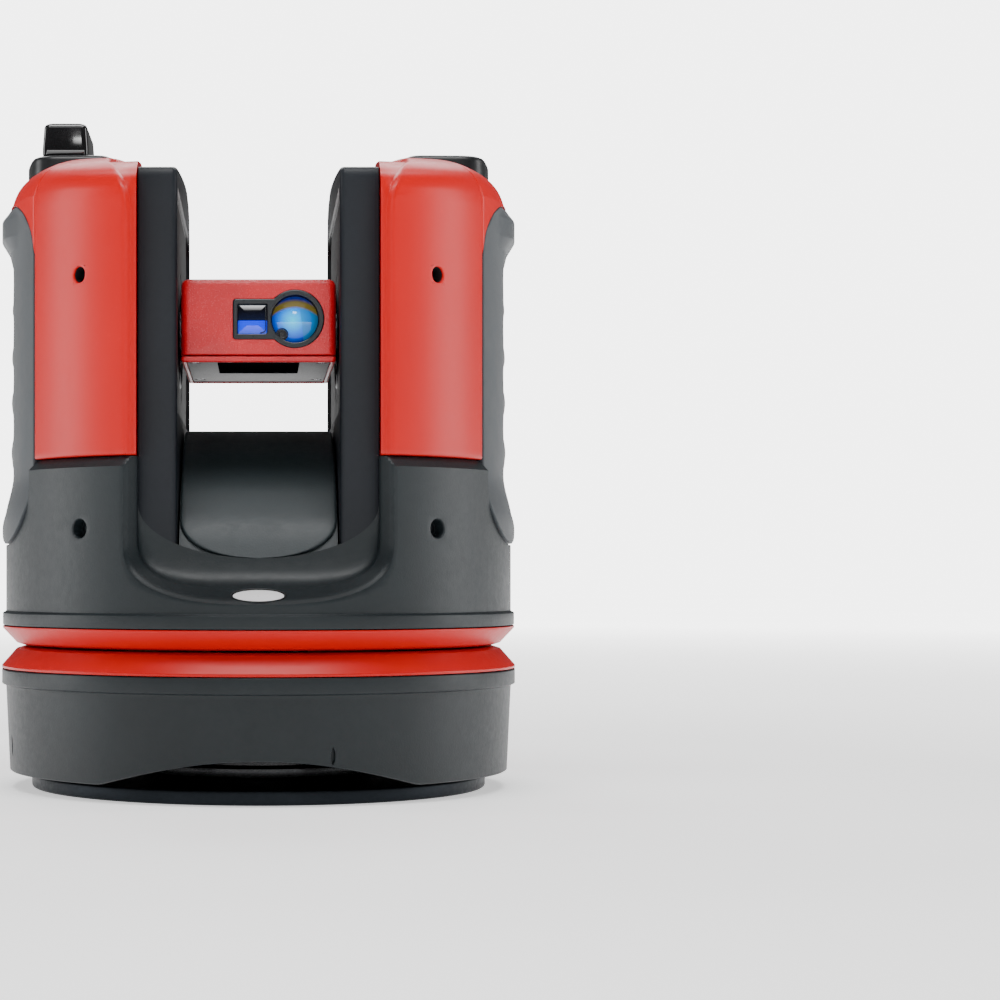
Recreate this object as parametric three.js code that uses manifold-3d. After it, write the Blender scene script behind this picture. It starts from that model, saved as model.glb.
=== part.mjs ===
// Motorised room-measuring laser station: turntable base, two towers and a tilting laser head.
// Millimetres, +Z up, origin at the bottom centre of the foot plate, front towards -Y.
import * as THREE from "three";
import { mergeVertices } from "three/addons/utils/BufferGeometryUtils.js";
import Module from "manifold-3d";

const wasm = await Module();
wasm.setup();

// Driving dimensions
const GAP = 0.3;
const SEGMENTS = 72;
const RING_SEGMENTS = 40;
const PLATE_R = 82.5;
const PLATE_TOP = 5;
const THREAD_R = 7.94;
const NECK_R = 42;
const LIP_R = 93.3;
const BASE_TOP = 42.8;
const FLOOR_Z = [16.5, 20];
const ARCH_HALF = 59.5;
const ARCH_TOP = 15;
const SPLIT_Z = [50.7, 51.5];
const GROOVE_R = 85.6;
const RING_INNER_R = 80;
const HOUSING_R = 91.8;
const HOUSING_BOTTOM = 58.5;
const HOUSING_FLOOR = 62.5;
const DECK_Z = [113, 116];
const HOUSING_CAVITY_R = 88.5;
const POCKET_BACK_Y = 71.7;
const TOWER_X = [27.3, 40.4];
const TOWER_HALF_DEPTH = 72;
const TOWER_FOOT_Z = 87;
const TILT_Z = 162.8;
const BORE_R = 16.3;
const PANEL_R = 90;
const PANEL_X = 40.7;
const PANEL_BOTTOM = 116.3;
const GRIP_ANGLE = 60;
const GRIP_INNER_R = 86.5;
const GRIP_BOTTOM = 87.5;
const GRIP_TOP = 207;
const CAP_TOP = 226;
const SADDLE_HALF = 26.7;
const HEAD_HALF = 26.3;
const HEAD_FRONT = -62;
const HEAD_REAR = 28;
const HEAD_Z = [148.6, 177];
const LIP_TOP = 150.6;
const HEAD_WALL = 3;
const TRUNNION_R = 9;
const TRUNNION_END = 46;
const TILT_GEAR_R = 24;
const TILT_PINION_R = 6.7;
const TILT_GEAR_X = [38.3, 44];
const SHAFT_R = 18;
const AZ_GEAR_R = 50;
const AZ_PINION_R = 9.7;
const AZ_GEAR_Z = [43.5, 48.5];
const KNOB_AT = [-69.3, 0];
const BUTTON_AT = [66, 0];
const BUTTON_R = 6;
const LENS_AT = [12.4, 163.3];
const LENS_R = 7.8;

const group = new THREE.Group();
group.name = "laser_station";

// Solids from three.js geometry, and back
function solid(geometry) {
  const flat = geometry.index ? geometry.toNonIndexed() : geometry;
  const bare = new THREE.BufferGeometry();
  bare.setAttribute("position", flat.getAttribute("position"));
  const merged = mergeVertices(bare, 1e-3);
  const tris = new Uint32Array(merged.index.array);
  const make = () =>
    new wasm.Manifold(
      new wasm.Mesh({
        numProp: 3,
        vertProperties: new Float32Array(merged.attributes.position.array),
        triVerts: tris,
      }),
    );
  let made = make();
  if (made.volume() < 0) {
    for (let i = 0; i < tris.length; i += 3) {
      const kept = tris[i + 1];
      tris[i + 1] = tris[i + 2];
      tris[i + 2] = kept;
    }
    made = make();
  }
  return made;
}

function geometryOf(made) {
  const mesh = made.getMesh();
  const positions = new Float32Array(mesh.triVerts.length * 3);
  mesh.triVerts.forEach((v, i) => {
    for (let k = 0; k < 3; k += 1) {
      positions[3 * i + k] = mesh.vertProperties[v * mesh.numProp + k];
    }
  });
  const geometry = new THREE.BufferGeometry();
  geometry.setAttribute("position", new THREE.BufferAttribute(positions, 3));
  geometry.computeVertexNormals();
  return geometry;
}

function mirrored(made, axis) {
  const geometry = geometryOf(made);
  const s = [1, 1, 1];
  s[axis] = -1;
  geometry.scale(s[0], s[1], s[2]);
  return solid(geometry);
}

function add(name, made, colour, roughness, metalness) {
  const material = new THREE.MeshStandardMaterial({ color: colour, roughness, metalness });
  const mesh = new THREE.Mesh(geometryOf(made), material);
  mesh.name = name;
  group.add(mesh);
}

const join = (...all) => all.reduce((a, b) => a.add(b));
const cut = (first, ...rest) => rest.reduce((a, b) => a.subtract(b), first);

// Basic shapes
function turned(profile, segments = SEGMENTS) {
  const points = profile.map(([r, z]) => new THREE.Vector2(r, z));
  const open = profile[0][0] > 0;
  if (open) points.push(points[0].clone());
  const geometry = new THREE.LatheGeometry(points, segments);
  geometry.rotateX(Math.PI / 2);
  return solid(geometry);
}

function block(x0, x1, y0, y1, z0, z1) {
  const geometry = new THREE.BoxGeometry(x1 - x0, y1 - y0, z1 - z0);
  geometry.translate((x0 + x1) / 2, (y0 + y1) / 2, (z0 + z1) / 2);
  return solid(geometry);
}

// Cylinder of radius r between two points
function rod(from, to, r, segments = 24) {
  const a = new THREE.Vector3(...from);
  const b = new THREE.Vector3(...to);
  const way = b.clone().sub(a);
  const geometry = new THREE.CylinderGeometry(r, r, way.length(), segments);
  const turn = new THREE.Quaternion();
  turn.setFromUnitVectors(new THREE.Vector3(0, 1, 0), way.clone().normalize());
  geometry.applyQuaternion(turn);
  geometry.translate((a.x + b.x) / 2, (a.y + b.y) / 2, (a.z + b.z) / 2);
  return solid(geometry);
}

// Prism over a plan outline
function plan(outline, z0, z1) {
  const shape = new THREE.Shape(outline.map(([x, y]) => new THREE.Vector2(x, y)));
  const geometry = new THREE.ExtrudeGeometry(shape, { depth: z1 - z0, bevelEnabled: false });
  geometry.translate(0, 0, z0);
  return solid(geometry);
}

// Prism along X over a side outline of [y, z]
function sideways(outline, x0, x1) {
  const shape = new THREE.Shape(outline.map(([y, z]) => new THREE.Vector2(y, z)));
  const geometry = new THREE.ExtrudeGeometry(shape, { depth: x1 - x0, bevelEnabled: false });
  geometry.rotateX(Math.PI / 2);
  geometry.rotateZ(Math.PI / 2);
  geometry.translate(x0, 0, 0);
  return solid(geometry);
}

// Prism along Y over a front outline of [x, z]
function facing(outline, y0, y1) {
  const shape = new THREE.Shape(outline.map(([x, z]) => new THREE.Vector2(x, z)));
  const geometry = new THREE.ExtrudeGeometry(shape, { depth: y1 - y0, bevelEnabled: false });
  geometry.rotateX(Math.PI / 2);
  geometry.translate(0, y1, 0);
  return solid(geometry);
}

// Closed body through rings of equal point count, capped in the X-Z plane
function loft(rings) {
  const n = rings[0].length;
  const positions = [];
  const corner = (p) => positions.push(p[0], p[1], p[2]);
  for (let k = 0; k < rings.length - 1; k += 1) {
    for (let i = 0; i < n; i += 1) {
      const j = (i + 1) % n;
      [rings[k][i], rings[k][j], rings[k + 1][j]].forEach(corner);
      [rings[k][i], rings[k + 1][j], rings[k + 1][i]].forEach(corner);
    }
  }
  const ends = [rings[0], rings[rings.length - 1]];
  ends.forEach((ring, side) => {
    const flat = ring.map((p) => new THREE.Vector2(p[0], p[2]));
    const faces = THREE.ShapeUtils.triangulateShape(flat, []);
    const down = THREE.ShapeUtils.area(flat) > 0;
    faces.forEach(([a, b, c]) => {
      const turn = (side === 0) !== down;
      (turn ? [a, b, c] : [a, c, b]).forEach((i) => corner(ring[i]));
    });
  });
  const geometry = new THREE.BufferGeometry();
  geometry.setAttribute("position", new THREE.Float32BufferAttribute(positions, 3));
  return geometry;
}

function loftSolid(rings) {
  try {
    return solid(loft(rings));
  } catch {
    return solid(loft(rings.slice().reverse()));
  }
}

const around = (r, degrees) => {
  const a = (degrees * Math.PI) / 180;
  return [r * Math.sin(a), -r * Math.cos(a)];
};

// Wedge between two angles, measured from the front (-Y) towards +X
function wedge(a0, a1, z0, z1) {
  const outline = [[0, 0]];
  const steps = 4;
  for (let i = 0; i <= steps; i += 1) {
    outline.push(around(300, a0 + ((a1 - a0) * i) / steps));
  }
  return plan(outline, z0, z1);
}

function mirrorList(half) {
  const other = half.slice().reverse().filter(([x]) => x !== 0);
  return half.concat(other.map(([x, z]) => [-x, z]));
}

// ---- Base ----
function basePlate() {
  const disc = turned([
    [12, 0],
    [PLATE_R - 1.2, 0],
    [PLATE_R, 1.2],
    [PLATE_R, PLATE_TOP - 0.8],
    [PLATE_R - 0.8, PLATE_TOP],
    [12, PLATE_TOP],
  ]);
  add("base_plate", disc, 0x55585c, 0.45, 0.8);
}

function tripodInsert() {
  const ring = turned(
    [
      [THREAD_R, 0.4],
      [11.7, 0.4],
      [11.7, PLATE_TOP + GAP],
      [20, PLATE_TOP + GAP],
      [20, 8],
      [11.7, 8],
      [11.7, 14],
      [THREAD_R, 14],
    ],
    36,
  );
  add("tripod_insert", ring, 0xb98a3a, 0.35, 1);
}

function neckRing() {
  const ring = turned(
    [
      [34, PLATE_TOP + GAP],
      [NECK_R, PLATE_TOP + GAP],
      [NECK_R, FLOOR_Z[0] - GAP],
      [34, FLOOR_Z[0] - GAP],
    ],
    48,
  );
  add("neck_ring", ring, 0xb8bcc0, 0.2, 1);
}

function baseShell() {
  let shell = turned([
    [8, FLOOR_Z[0]],
    [86.8, FLOOR_Z[0]],
    [86.8, 6.5],
    [90.4, 6.5],
    [91.8, 36.4],
    [LIP_R, 37.2],
    [LIP_R, BASE_TOP],
    [88.4, BASE_TOP],
    [88.2, FLOOR_Z[1]],
    [31, FLOOR_Z[1]],
    [31, 41],
    [27.3, 41],
    [27.3, FLOOR_Z[1]],
    [8, FLOOR_Z[1]],
  ]);
  const arch = mirrorList([
    [ARCH_HALF + 2, 0],
    [ARCH_HALF, 7.5],
    [ARCH_HALF - 5, 11],
    [40, 13.8],
    [20, ARCH_TOP],
    [0, ARCH_TOP],
  ]);
  shell = cut(shell, facing(arch, -100, -50), facing(arch, 50, 100));
  for (const angle of [15.6, 105.6, 195.6, 285.6]) {
    const slot = new THREE.BoxGeometry(1.5, 6, 7.9);
    slot.translate(0, -93, 15.65);
    slot.rotateZ((angle * Math.PI) / 180);
    shell = shell.subtract(solid(slot));
  }
  for (const x of [14, -14]) {
    shell = shell.subtract(rod([x, 80, 28], [x, 99, 28], 6.3, 28));
  }
  add("base_shell", shell, 0x23282e, 0.6, 0);
}

function lowerRing() {
  const ring = turned([
    [RING_INNER_R, BASE_TOP + GAP],
    [LIP_R, BASE_TOP + GAP],
    [LIP_R, 44],
    [91.6, 46.6],
    [88, 49.9],
    [GROOVE_R, SPLIT_Z[0]],
    [RING_INNER_R, SPLIT_Z[0]],
  ]);
  add("lower_ring", ring, 0xd8101c, 0.35, 0);
}

function batteryPack() {
  add("battery_pack", block(-72, -35, -26, 26, FLOOR_Z[1] + GAP, 41), 0x2f4a6b, 0.5, 0);
}

function socket(name, x, colour) {
  const body = rod([x, 76, 28], [x, 90.3, 28], 6, 28);
  const bore = rod([x, 82, 28], [x, 95, 28], 4.2, 28);
  add(name, cut(body, bore), colour, 0.3, 0.9);
}

function azimuthBearing() {
  const race = (r0, r1) =>
    turned(
      [
        [r0, 30],
        [r1, 30],
        [r1, 40],
        [r0, 40],
      ],
      RING_SEGMENTS,
    );
  const outer = race(21.6, 27);
  add("azimuth_bearing_outer", outer, 0x9aa0a6, 0.3, 1);
  const inner = race(SHAFT_R + GAP, 21.2);
  add("azimuth_bearing_inner", inner, 0x9aa0a6, 0.3, 1);
}

function azimuthDrive() {
  const reach = (AZ_GEAR_R + AZ_PINION_R + GAP) / Math.SQRT2;
  const at = (z) => [reach, reach, z];
  const motor = rod(at(FLOOR_Z[1] + GAP), at(41), 13, 32);
  add("azimuth_motor", cut(motor, rod(at(32), at(50), 2.8, 16)), 0x6d7278, 0.4, 0.9);
  const wheel = rod(at(AZ_GEAR_Z[0]), at(AZ_GEAR_Z[1]), AZ_PINION_R, 36);
  add("azimuth_pinion", wheel.add(rod(at(34), at(45), 2.4, 16)), 0xb98a3a, 0.35, 1);
  const gear = turned(
    [
      [SHAFT_R + GAP, AZ_GEAR_Z[0]],
      [AZ_GEAR_R, AZ_GEAR_Z[0]],
      [AZ_GEAR_R, AZ_GEAR_Z[1]],
      [SHAFT_R + GAP, AZ_GEAR_Z[1]],
    ],
    48,
  );
  add("azimuth_gear", gear, 0xc9a24a, 0.35, 1);
}

function slipRingCore() {
  add("slip_ring_core", rod([0, 0, FLOOR_Z[1] + GAP], [0, 0, 60], 11, 36), 0x30343a, 0.5, 0);
}

// ---- Turning housing ----
function azimuthShaft() {
  const shaft = turned(
    [
      [13, 24],
      [SHAFT_R, 24],
      [SHAFT_R, HOUSING_FLOOR + GAP],
      [30, HOUSING_FLOOR + GAP],
      [30, 67],
      [13, 67],
    ],
    RING_SEGMENTS,
  );
  add("azimuth_shaft", shaft, 0xa6abb0, 0.3, 1);
}

function upperRing() {
  const ring = turned([
    [RING_INNER_R, SPLIT_Z[1]],
    [GROOVE_R, SPLIT_Z[1]],
    [88, 52.3],
    [91.4, 55.4],
    [93, 57.6],
    [93, HOUSING_BOTTOM - GAP],
    [RING_INNER_R, HOUSING_BOTTOM - GAP],
  ]);
  add("upper_ring", ring, 0xd8101c, 0.35, 0);
}

const U_OUTER = [
  [45, 125],
  [45, 84],
  [41.4, 76],
  [35.8, 71.8],
  [27.7, 69],
  [19.5, 67.7],
  [0, 66.9],
];
const U_INNER = [
  [40.4, 125],
  [40.3, 87],
  [38.9, 81.5],
  [35, 77],
  [27.5, 74],
  [19.6, 72.5],
  [0, 71.8],
];
const U_BACK = [
  [40.7, 125],
  [40.7, 92],
  [39.6, 87.5],
  [36, 85],
  [27.5, 83.2],
  [19.6, 82.3],
  [0, 82],
];

// Bevelled U-shaped recess that runs up the front of the housing
function pocket() {
  const ring = (half, depth) => mirrorList(half).map(([x, z]) => [x, depth(Math.abs(x)), z]);
  return loftSolid([
    ring(U_OUTER, () => -120),
    ring(U_OUTER, (x) => -Math.sqrt(92.1 ** 2 - x * x)),
    ring(U_INNER, (x) => -82 + 6.5 * (x / 40.3) ** 2),
    ring(U_BACK, () => -POCKET_BACK_Y),
  ]);
}

function badgeBlank(grow, thick) {
  const shape = new THREE.Shape();
  shape.absellipse(0, 0, 8.6 + grow, 4.4 + grow, 0, Math.PI * 2);
  const options = { depth: thick, bevelEnabled: false, curveSegments: 28 };
  const geometry = new THREE.ExtrudeGeometry(shape, options);
  geometry.translate(0, 0, grow > 0 ? -0.9 : -0.6);
  geometry.rotateX(Math.atan2(4.9, 9.8));
  geometry.translate(0, -86.9, 69.4);
  return solid(geometry);
}

function radialRod(angle, z, r0, r1, r) {
  const [x0, y0] = around(r0, angle);
  const [x1, y1] = around(r1, angle);
  return rod([x0, y0, z], [x1, y1, z], r, 20);
}

const HOUSING_SCREW_ANGLES = { front_right: 41, rear_right: 139, rear_left: 221, front_left: 319 };
const HOUSING_SCREW_Z = 92;

function lowerHousing() {
  let body = turned([
    [0, HOUSING_BOTTOM],
    [93, HOUSING_BOTTOM],
    [93, 62.9],
    [HOUSING_R, 63.7],
    [HOUSING_R, 112.6],
    [90.4, 115],
    [88.5, DECK_Z[1]],
    [0, DECK_Z[1]],
  ]);
  const front = pocket();
  const round = turned([
    [0, HOUSING_FLOOR],
    [HOUSING_CAVITY_R, HOUSING_FLOOR],
    [HOUSING_CAVITY_R, DECK_Z[0]],
    [0, DECK_Z[0]],
  ]);
  const keep = join(
    block(-48, 48, -68.5, 68.5, 60, 120),
    block(48, 100, -100, 100, 60, 120),
    block(-100, -48, -100, 100, 60, 120),
  );
  body = cut(body, front, mirrored(front, 1), round.intersect(keep));
  for (const angle of Object.values(HOUSING_SCREW_ANGLES)) {
    body = body.add(radialRod(angle, HOUSING_SCREW_Z, 80, 90, 4.8));
    body = body.subtract(radialRod(angle, HOUSING_SCREW_Z, 78, 99, 3.2));
  }
  const far = GRIP_INNER_R - GAP;
  const core = rod([0, 0, 80], [0, 0, 125], far, SEGMENTS);
  for (const side of [0, 180]) {
    const sector = wedge(GRIP_ANGLE + side, 180 - GRIP_ANGLE + side, GRIP_BOTTOM - GAP, 122);
    body = body.subtract(sector.subtract(core));
  }
  for (const s of [1, -1]) {
    const xs = [TOWER_X[0] - GAP, TOWER_X[1] + GAP].map((x) => s * x).sort((a, b) => a - b);
    const frame = block(xs[0], xs[1], -72.3, 72.3, TOWER_FOOT_Z - GAP, 130);
    const well = [45.5, 76].map((x) => s * x).sort((a, b) => a - b);
    body = cut(body, frame, block(well[0], well[1], -38, 38, 100, 130));
  }
  body = cut(body, block(-27.2, 27.2, -76, 76, 81.7, 130));
  body = cut(body, rod([0, 0, 50], [0, 0, 70], SHAFT_R + GAP, SEGMENTS));
  body = body.subtract(badgeBlank(0.35, 12));
  add("lower_housing", body, 0x23282e, 0.6, 0);
}

function badge() {
  add("front_badge", badgeBlank(0, 0.9), 0xd9dadc, 0.3, 0.6);
}

function housingScrews() {
  for (const [where, angle] of Object.entries(HOUSING_SCREW_ANGLES)) {
    const screw = radialRod(angle, HOUSING_SCREW_Z, 80.5, 87.4, 2.9);
    add("housing_screw_" + where, screw, 0x8a8f94, 0.3, 1);
  }
}

function saddleCover() {
  const outer = [
    [72, 82],
    [67.5, 90],
    [62, 97],
    [50, 108.7],
    [38, 117.2],
    [22, 124.2],
    [9, 127.9],
    [0, 129],
  ];
  const inner = [
    [68.6, 82],
    [64.8, 88.4],
    [59.6, 94.8],
    [48, 106],
    [36.5, 114.1],
    [21, 121],
    [8.6, 124.7],
    [0, 125.8],
  ];
  const top = outer.map(([y, z]) => [-y, z]).concat(outer.slice(0, -1).reverse());
  const under = inner.concat(inner.slice(0, -1).reverse().map(([y, z]) => [-y, z]));
  add("saddle_cover", sideways(top.concat(under), -SADDLE_HALF, SADDLE_HALF), 0x2a3036, 0.6, 0);
}

function towerFrame(name, s) {
  const outline = [
    [-72, TOWER_FOOT_Z],
    [-72, 212],
    [-71, 213.6],
    [-58, 215.8],
    [-40, 218],
    [-20, 220.2],
    [0, 222.2],
    [20, 223.8],
    [40, 224.6],
    [58, 222.8],
    [70.4, 216.6],
    [72, 213],
    [72, TOWER_FOOT_Z],
  ];
  let frame = sideways(outline, TOWER_X[0], TOWER_X[1]);
  const recess = [
    [-64, 134],
    [64, 134],
    [64, 203],
    [58, 208],
    [-58, 208],
    [-64, 203],
  ];
  const hollow = [
    [-66, 92],
    [66, 92],
    [66, 207],
    [56, 211],
    [0, 216],
    [-56, 211],
    [-66, 207],
  ];
  frame = cut(frame, sideways(recess, TOWER_X[0] - 1, TOWER_X[0] + 1.4));
  frame = cut(frame, sideways(hollow, 32, TOWER_X[1] + 1));
  frame = cut(frame, rod([20, 0, TILT_Z], [50, 0, TILT_Z], BORE_R, 36));
  add(name, s > 0 ? frame : mirrored(frame, 0), 0x1d2126, 0.55, 0);
}

const PANEL_SCREW_Z = 177.7;
const PANEL_SCREW_ANGLE = 42.3;

function redPanels() {
  const outside = turned([
    [0, PANEL_BOTTOM],
    [PANEL_R, PANEL_BOTTOM],
    [PANEL_R, 205],
    [89.3, 210],
    [87.3, 214.4],
    [84, 217.8],
    [79.5, 220.2],
    [73, 221.5],
    [60, 221.6],
    [0, 220],
  ]);
  const inside = turned([
    [0, 110],
    [87.2, 110],
    [87.2, 205],
    [86.5, 209],
    [84.8, 212.5],
    [82, 215.4],
    [78.4, 217.4],
    [72.6, 218.6],
    [60, 218.7],
    [0, 217.1],
  ]);
  let panel = outside.subtract(inside).intersect(wedge(0, GRIP_ANGLE - 0.2, 100, 240));
  panel = panel.intersect(block(PANEL_X, 120, -120, 0, 100, 240));
  panel = panel.add(radialRod(PANEL_SCREW_ANGLE, PANEL_SCREW_Z, 79, 88.5, 4.2));
  panel = panel.subtract(radialRod(PANEL_SCREW_ANGLE, PANEL_SCREW_Z, 77, 99, 2.7));
  const left = mirrored(panel, 0);
  add("panel_front_right", panel, 0xd8101c, 0.35, 0);
  add("panel_front_left", left, 0xd8101c, 0.35, 0);
  add("panel_rear_right", mirrored(panel, 1), 0xd8101c, 0.35, 0);
  add("panel_rear_left", mirrored(left, 1), 0xd8101c, 0.35, 0);
  const angles = {
    front_right: PANEL_SCREW_ANGLE,
    rear_right: 180 - PANEL_SCREW_ANGLE,
    rear_left: 180 + PANEL_SCREW_ANGLE,
    front_left: 360 - PANEL_SCREW_ANGLE,
  };
  for (const [where, angle] of Object.entries(angles)) {
    const screw = radialRod(angle, PANEL_SCREW_Z, 79.5, 86.2, 2.4);
    add("panel_screw_" + where, screw, 0x8a8f94, 0.3, 1);
  }
}

function grips() {
  const profile = [
    [GRIP_INNER_R, GRIP_BOTTOM],
    [92, GRIP_BOTTOM],
    [93, 89.5],
    [93, 95],
    [91.2, 101],
    [89.2, 108],
    [88.7, 112.5],
    [89.7, 117],
    [89.9, 121],
    [89.3, 125],
    [88.5, 129],
    [89.3, 134],
    [89.8, 138.6],
    [89.2, 143],
    [88.4, 147],
    [89.2, 151],
    [89.7, 154.6],
    [89.2, 160],
    [88.4, 165],
    [89.1, 169],
    [89.5, 172],
    [89, 177],
    [88.4, 181],
    [89.2, 187],
    [91.2, 192],
    [93, 197],
    [93.3, 200],
    [92.8, 203.4],
    [91, 206.2],
    [89.4, GRIP_TOP],
    [GRIP_INNER_R, GRIP_TOP],
  ];
  const grip = turned(profile).intersect(wedge(GRIP_ANGLE, 180 - GRIP_ANGLE, 80, 220));
  add("grip_right", grip, 0x1b1f24, 0.8, 0);
  add("grip_left", mirrored(grip, 0), 0x1b1f24, 0.8, 0);
}

function topCap() {
  const outside = turned([
    [0, GRIP_TOP + GAP],
    [89.2, GRIP_TOP + GAP],
    [89.2, 212],
    [87.8, 217],
    [84.8, 221.2],
    [80.5, 224.2],
    [75, CAP_TOP],
    [0, CAP_TOP],
  ]);
  const inside = turned([
    [0, 200],
    [86.2, 200],
    [86.2, 212],
    [84.8, 216],
    [82, 219.4],
    [78.6, 221.8],
    [74, 223],
    [0, 223],
  ]);
  let cap = outside.intersect(wedge(GRIP_ANGLE, 180 - GRIP_ANGLE, 200, 240));
  cap = cap.intersect(block(PANEL_X, 120, -80, 80, 200, 240));
  let hollow = inside.intersect(wedge(GRIP_ANGLE + 3, 177 - GRIP_ANGLE, 190, 240));
  hollow = hollow.intersect(block(PANEL_X + 2.5, 120, -80, 80, 190, 240));
  return cap.subtract(hollow);
}

function topCaps() {
  const cap = topCap();
  const hole = rod([...BUTTON_AT, 215], [...BUTTON_AT, 240], BUTTON_R + GAP, 32);
  add("top_cap_right", cap.subtract(hole), 0x16191d, 0.4, 0);
  const bore = rod([...KNOB_AT, 215], [...KNOB_AT, 240], 4.4, 24);
  add("top_cap_left", mirrored(cap, 0).subtract(bore), 0x16191d, 0.4, 0);
}

function powerButton() {
  const head = rod([...BUTTON_AT, 221], [...BUTTON_AT, 227.4], BUTTON_R, 32);
  const flange = rod([...BUTTON_AT, 220], [...BUTTON_AT, 222.4], 8.4, 32);
  add("power_button", head.add(flange), 0xc21420, 0.4, 0);
}

function transportLock() {
  const [x, y] = KNOB_AT;
  const r = 2.6;
  const half = { x: 8.25, y: 18 };
  const outline = [];
  for (const [sx, sy, from] of [
    [1, 1, 0],
    [-1, 1, 90],
    [-1, -1, 180],
    [1, -1, 270],
  ]) {
    for (let i = 0; i <= 3; i += 1) {
      const a = ((from + 30 * i) * Math.PI) / 180;
      outline.push([x + sx * (half.x - r) + r * Math.cos(a), y + sy * (half.y - r) + r * Math.sin(a)]);
    }
  }
  const collar = rod([x, y, CAP_TOP + GAP], [x, y, 229.5], 8, 32);
  const post = rod([x, y, 219], [x, y, 228], 4, 24);
  const socketHole = rod([x, y, 200], [x, y, 222.5], 2.3, 16);
  const knob = join(plan(outline, 228, 238.6), collar, post);
  add("lock_knob", knob.subtract(socketHole), 0x0c0d0f, 0.12, 0);
  const pin = rod([x, y, 193], [x, y, 222.2], 2, 16);
  const lever = plan(
    [
      [x - 4, y - 5],
      [x + 14, y - 3],
      [x + 17, y],
      [x + 14, y + 3],
      [x - 4, y + 5],
    ],
    192,
    195,
  );
  add("lock_cam", pin.add(lever), 0x8a8f94, 0.35, 1);
}

// ---- Tilting head ----
const headSide = (inset, bottom, top) => [
  [HEAD_FRONT + inset, bottom],
  [HEAD_REAR - inset - 2.5, bottom],
  [HEAD_REAR - inset, bottom + 2.5],
  [HEAD_REAR - inset, top - 4],
  [HEAD_REAR - inset - 1.2, top - 1.2],
  [HEAD_REAR - inset - 4, top],
  [HEAD_FRONT + inset + 4, top],
  [HEAD_FRONT + inset + 1.2, top - 1.2],
  [HEAD_FRONT + inset, top - 4],
];

function keyhole(grow, y0, y1) {
  const rect = block(-8.65 - grow, 8, y0, y1, 156.4 - grow, 170 + grow);
  const [x, z] = LENS_AT;
  return rect.add(rod([x, y0, z], [x, y1, z], 9.83 + grow, 40));
}

function headCover() {
  let cover = sideways(headSide(0, LIP_TOP + GAP, HEAD_Z[1]), -HEAD_HALF, HEAD_HALF);
  const inner = [
    [HEAD_FRONT + HEAD_WALL, 140],
    [HEAD_REAR - HEAD_WALL, 140],
    [HEAD_REAR - HEAD_WALL, HEAD_Z[1] - HEAD_WALL],
    [HEAD_FRONT + HEAD_WALL, HEAD_Z[1] - HEAD_WALL],
  ];
  const wall = HEAD_HALF - HEAD_WALL;
  cover = cut(cover, sideways(inner, -wall, wall), keyhole(GAP, -70, -50));
  const bores = rod([-40, 0, TILT_Z], [40, 0, TILT_Z], TRUNNION_R + GAP, 36);
  add("head_cover", cover.subtract(bores), 0xc81420, 0.55, 0);
}

function headUnderside() {
  const outer = block(-HEAD_HALF, HEAD_HALF, HEAD_FRONT, HEAD_REAR - 2, HEAD_Z[0], LIP_TOP);
  const hole = block(-24.6, 24.6, HEAD_FRONT + 1.7, HEAD_REAR - 3.7, 140, 160);
  add("head_lip", outer.subtract(hole), 0xb0101a, 0.55, 0);
  const plate = block(-24.3, 24.3, HEAD_FRONT + 2, HEAD_REAR - 4, 149.2, LIP_TOP);
  add("head_bottom_plate", plate, 0x7c8084, 0.45, 0.8);
  add("head_label", block(-14, 14, -54, -16, 148.8, 149.1), 0x101214, 0.5, 0);
}

function headOptics() {
  const [x, z] = LENS_AT;
  const bezel = cut(
    keyhole(0, -62.4, -58.6),
    block(-7.1, 3.2, -70, -50, 158.1, 168.4),
    rod([x, -70, z], [x, -50, z], LENS_R + GAP, 40),
  );
  add("head_bezel", bezel, 0x0b0c0e, 0.25, 0);
  add("camera_window", block(-6.8, 2.9, -60.8, -59.4, 158.4, 168.1), 0x1d4fd0, 0.05, 0);
  const emitterAt = [8, 158.1];
  const lensBlank = new THREE.SphereGeometry(16, 48, 48);
  lensBlank.rotateX(Math.PI / 2);
  lensBlank.translate(x, -61.8 + 16, z);
  let lens = solid(lensBlank).intersect(rod([x, -62, z], [x, -58, z], LENS_R, 40));
  lens = lens.subtract(rod([emitterAt[0], -70, emitterAt[1]], [emitterAt[0], -50, emitterAt[1]], 2.1, 16));
  add("receiver_lens", lens, 0x1aa0e8, 0.05, 0);
  const emitter = rod([emitterAt[0], -60.6, emitterAt[1]], [emitterAt[0], -48, emitterAt[1]], 1.7, 16);
  add("laser_emitter", emitter.intersect(rod([x, -62, z], [x, -40, z], LENS_R, 40)), 0x30343a, 0.3, 0.5);
  const tube = rod([x, -57.7, z], [x, -34, z], 8.1, 36);
  const tubeBore = rod([x, -59, z], [x, -37, z], 6, 36);
  const notch = rod([emitterAt[0], -60, emitterAt[1]], [emitterAt[0], -46, emitterAt[1]], 2.1, 16);
  add("lens_barrel", cut(tube, tubeBore, notch), 0x3a3e43, 0.5, 0.5);
  const sensor = block(-6.8, 3.4, -58, -44, 158.2, 168.2);
  add("camera_module", sensor, 0x202327, 0.5, 0.2);
  add("head_board", block(-18, 18, -28, 22, 153, 154.6), 0x1d6b3a, 0.6, 0);
}

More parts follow.
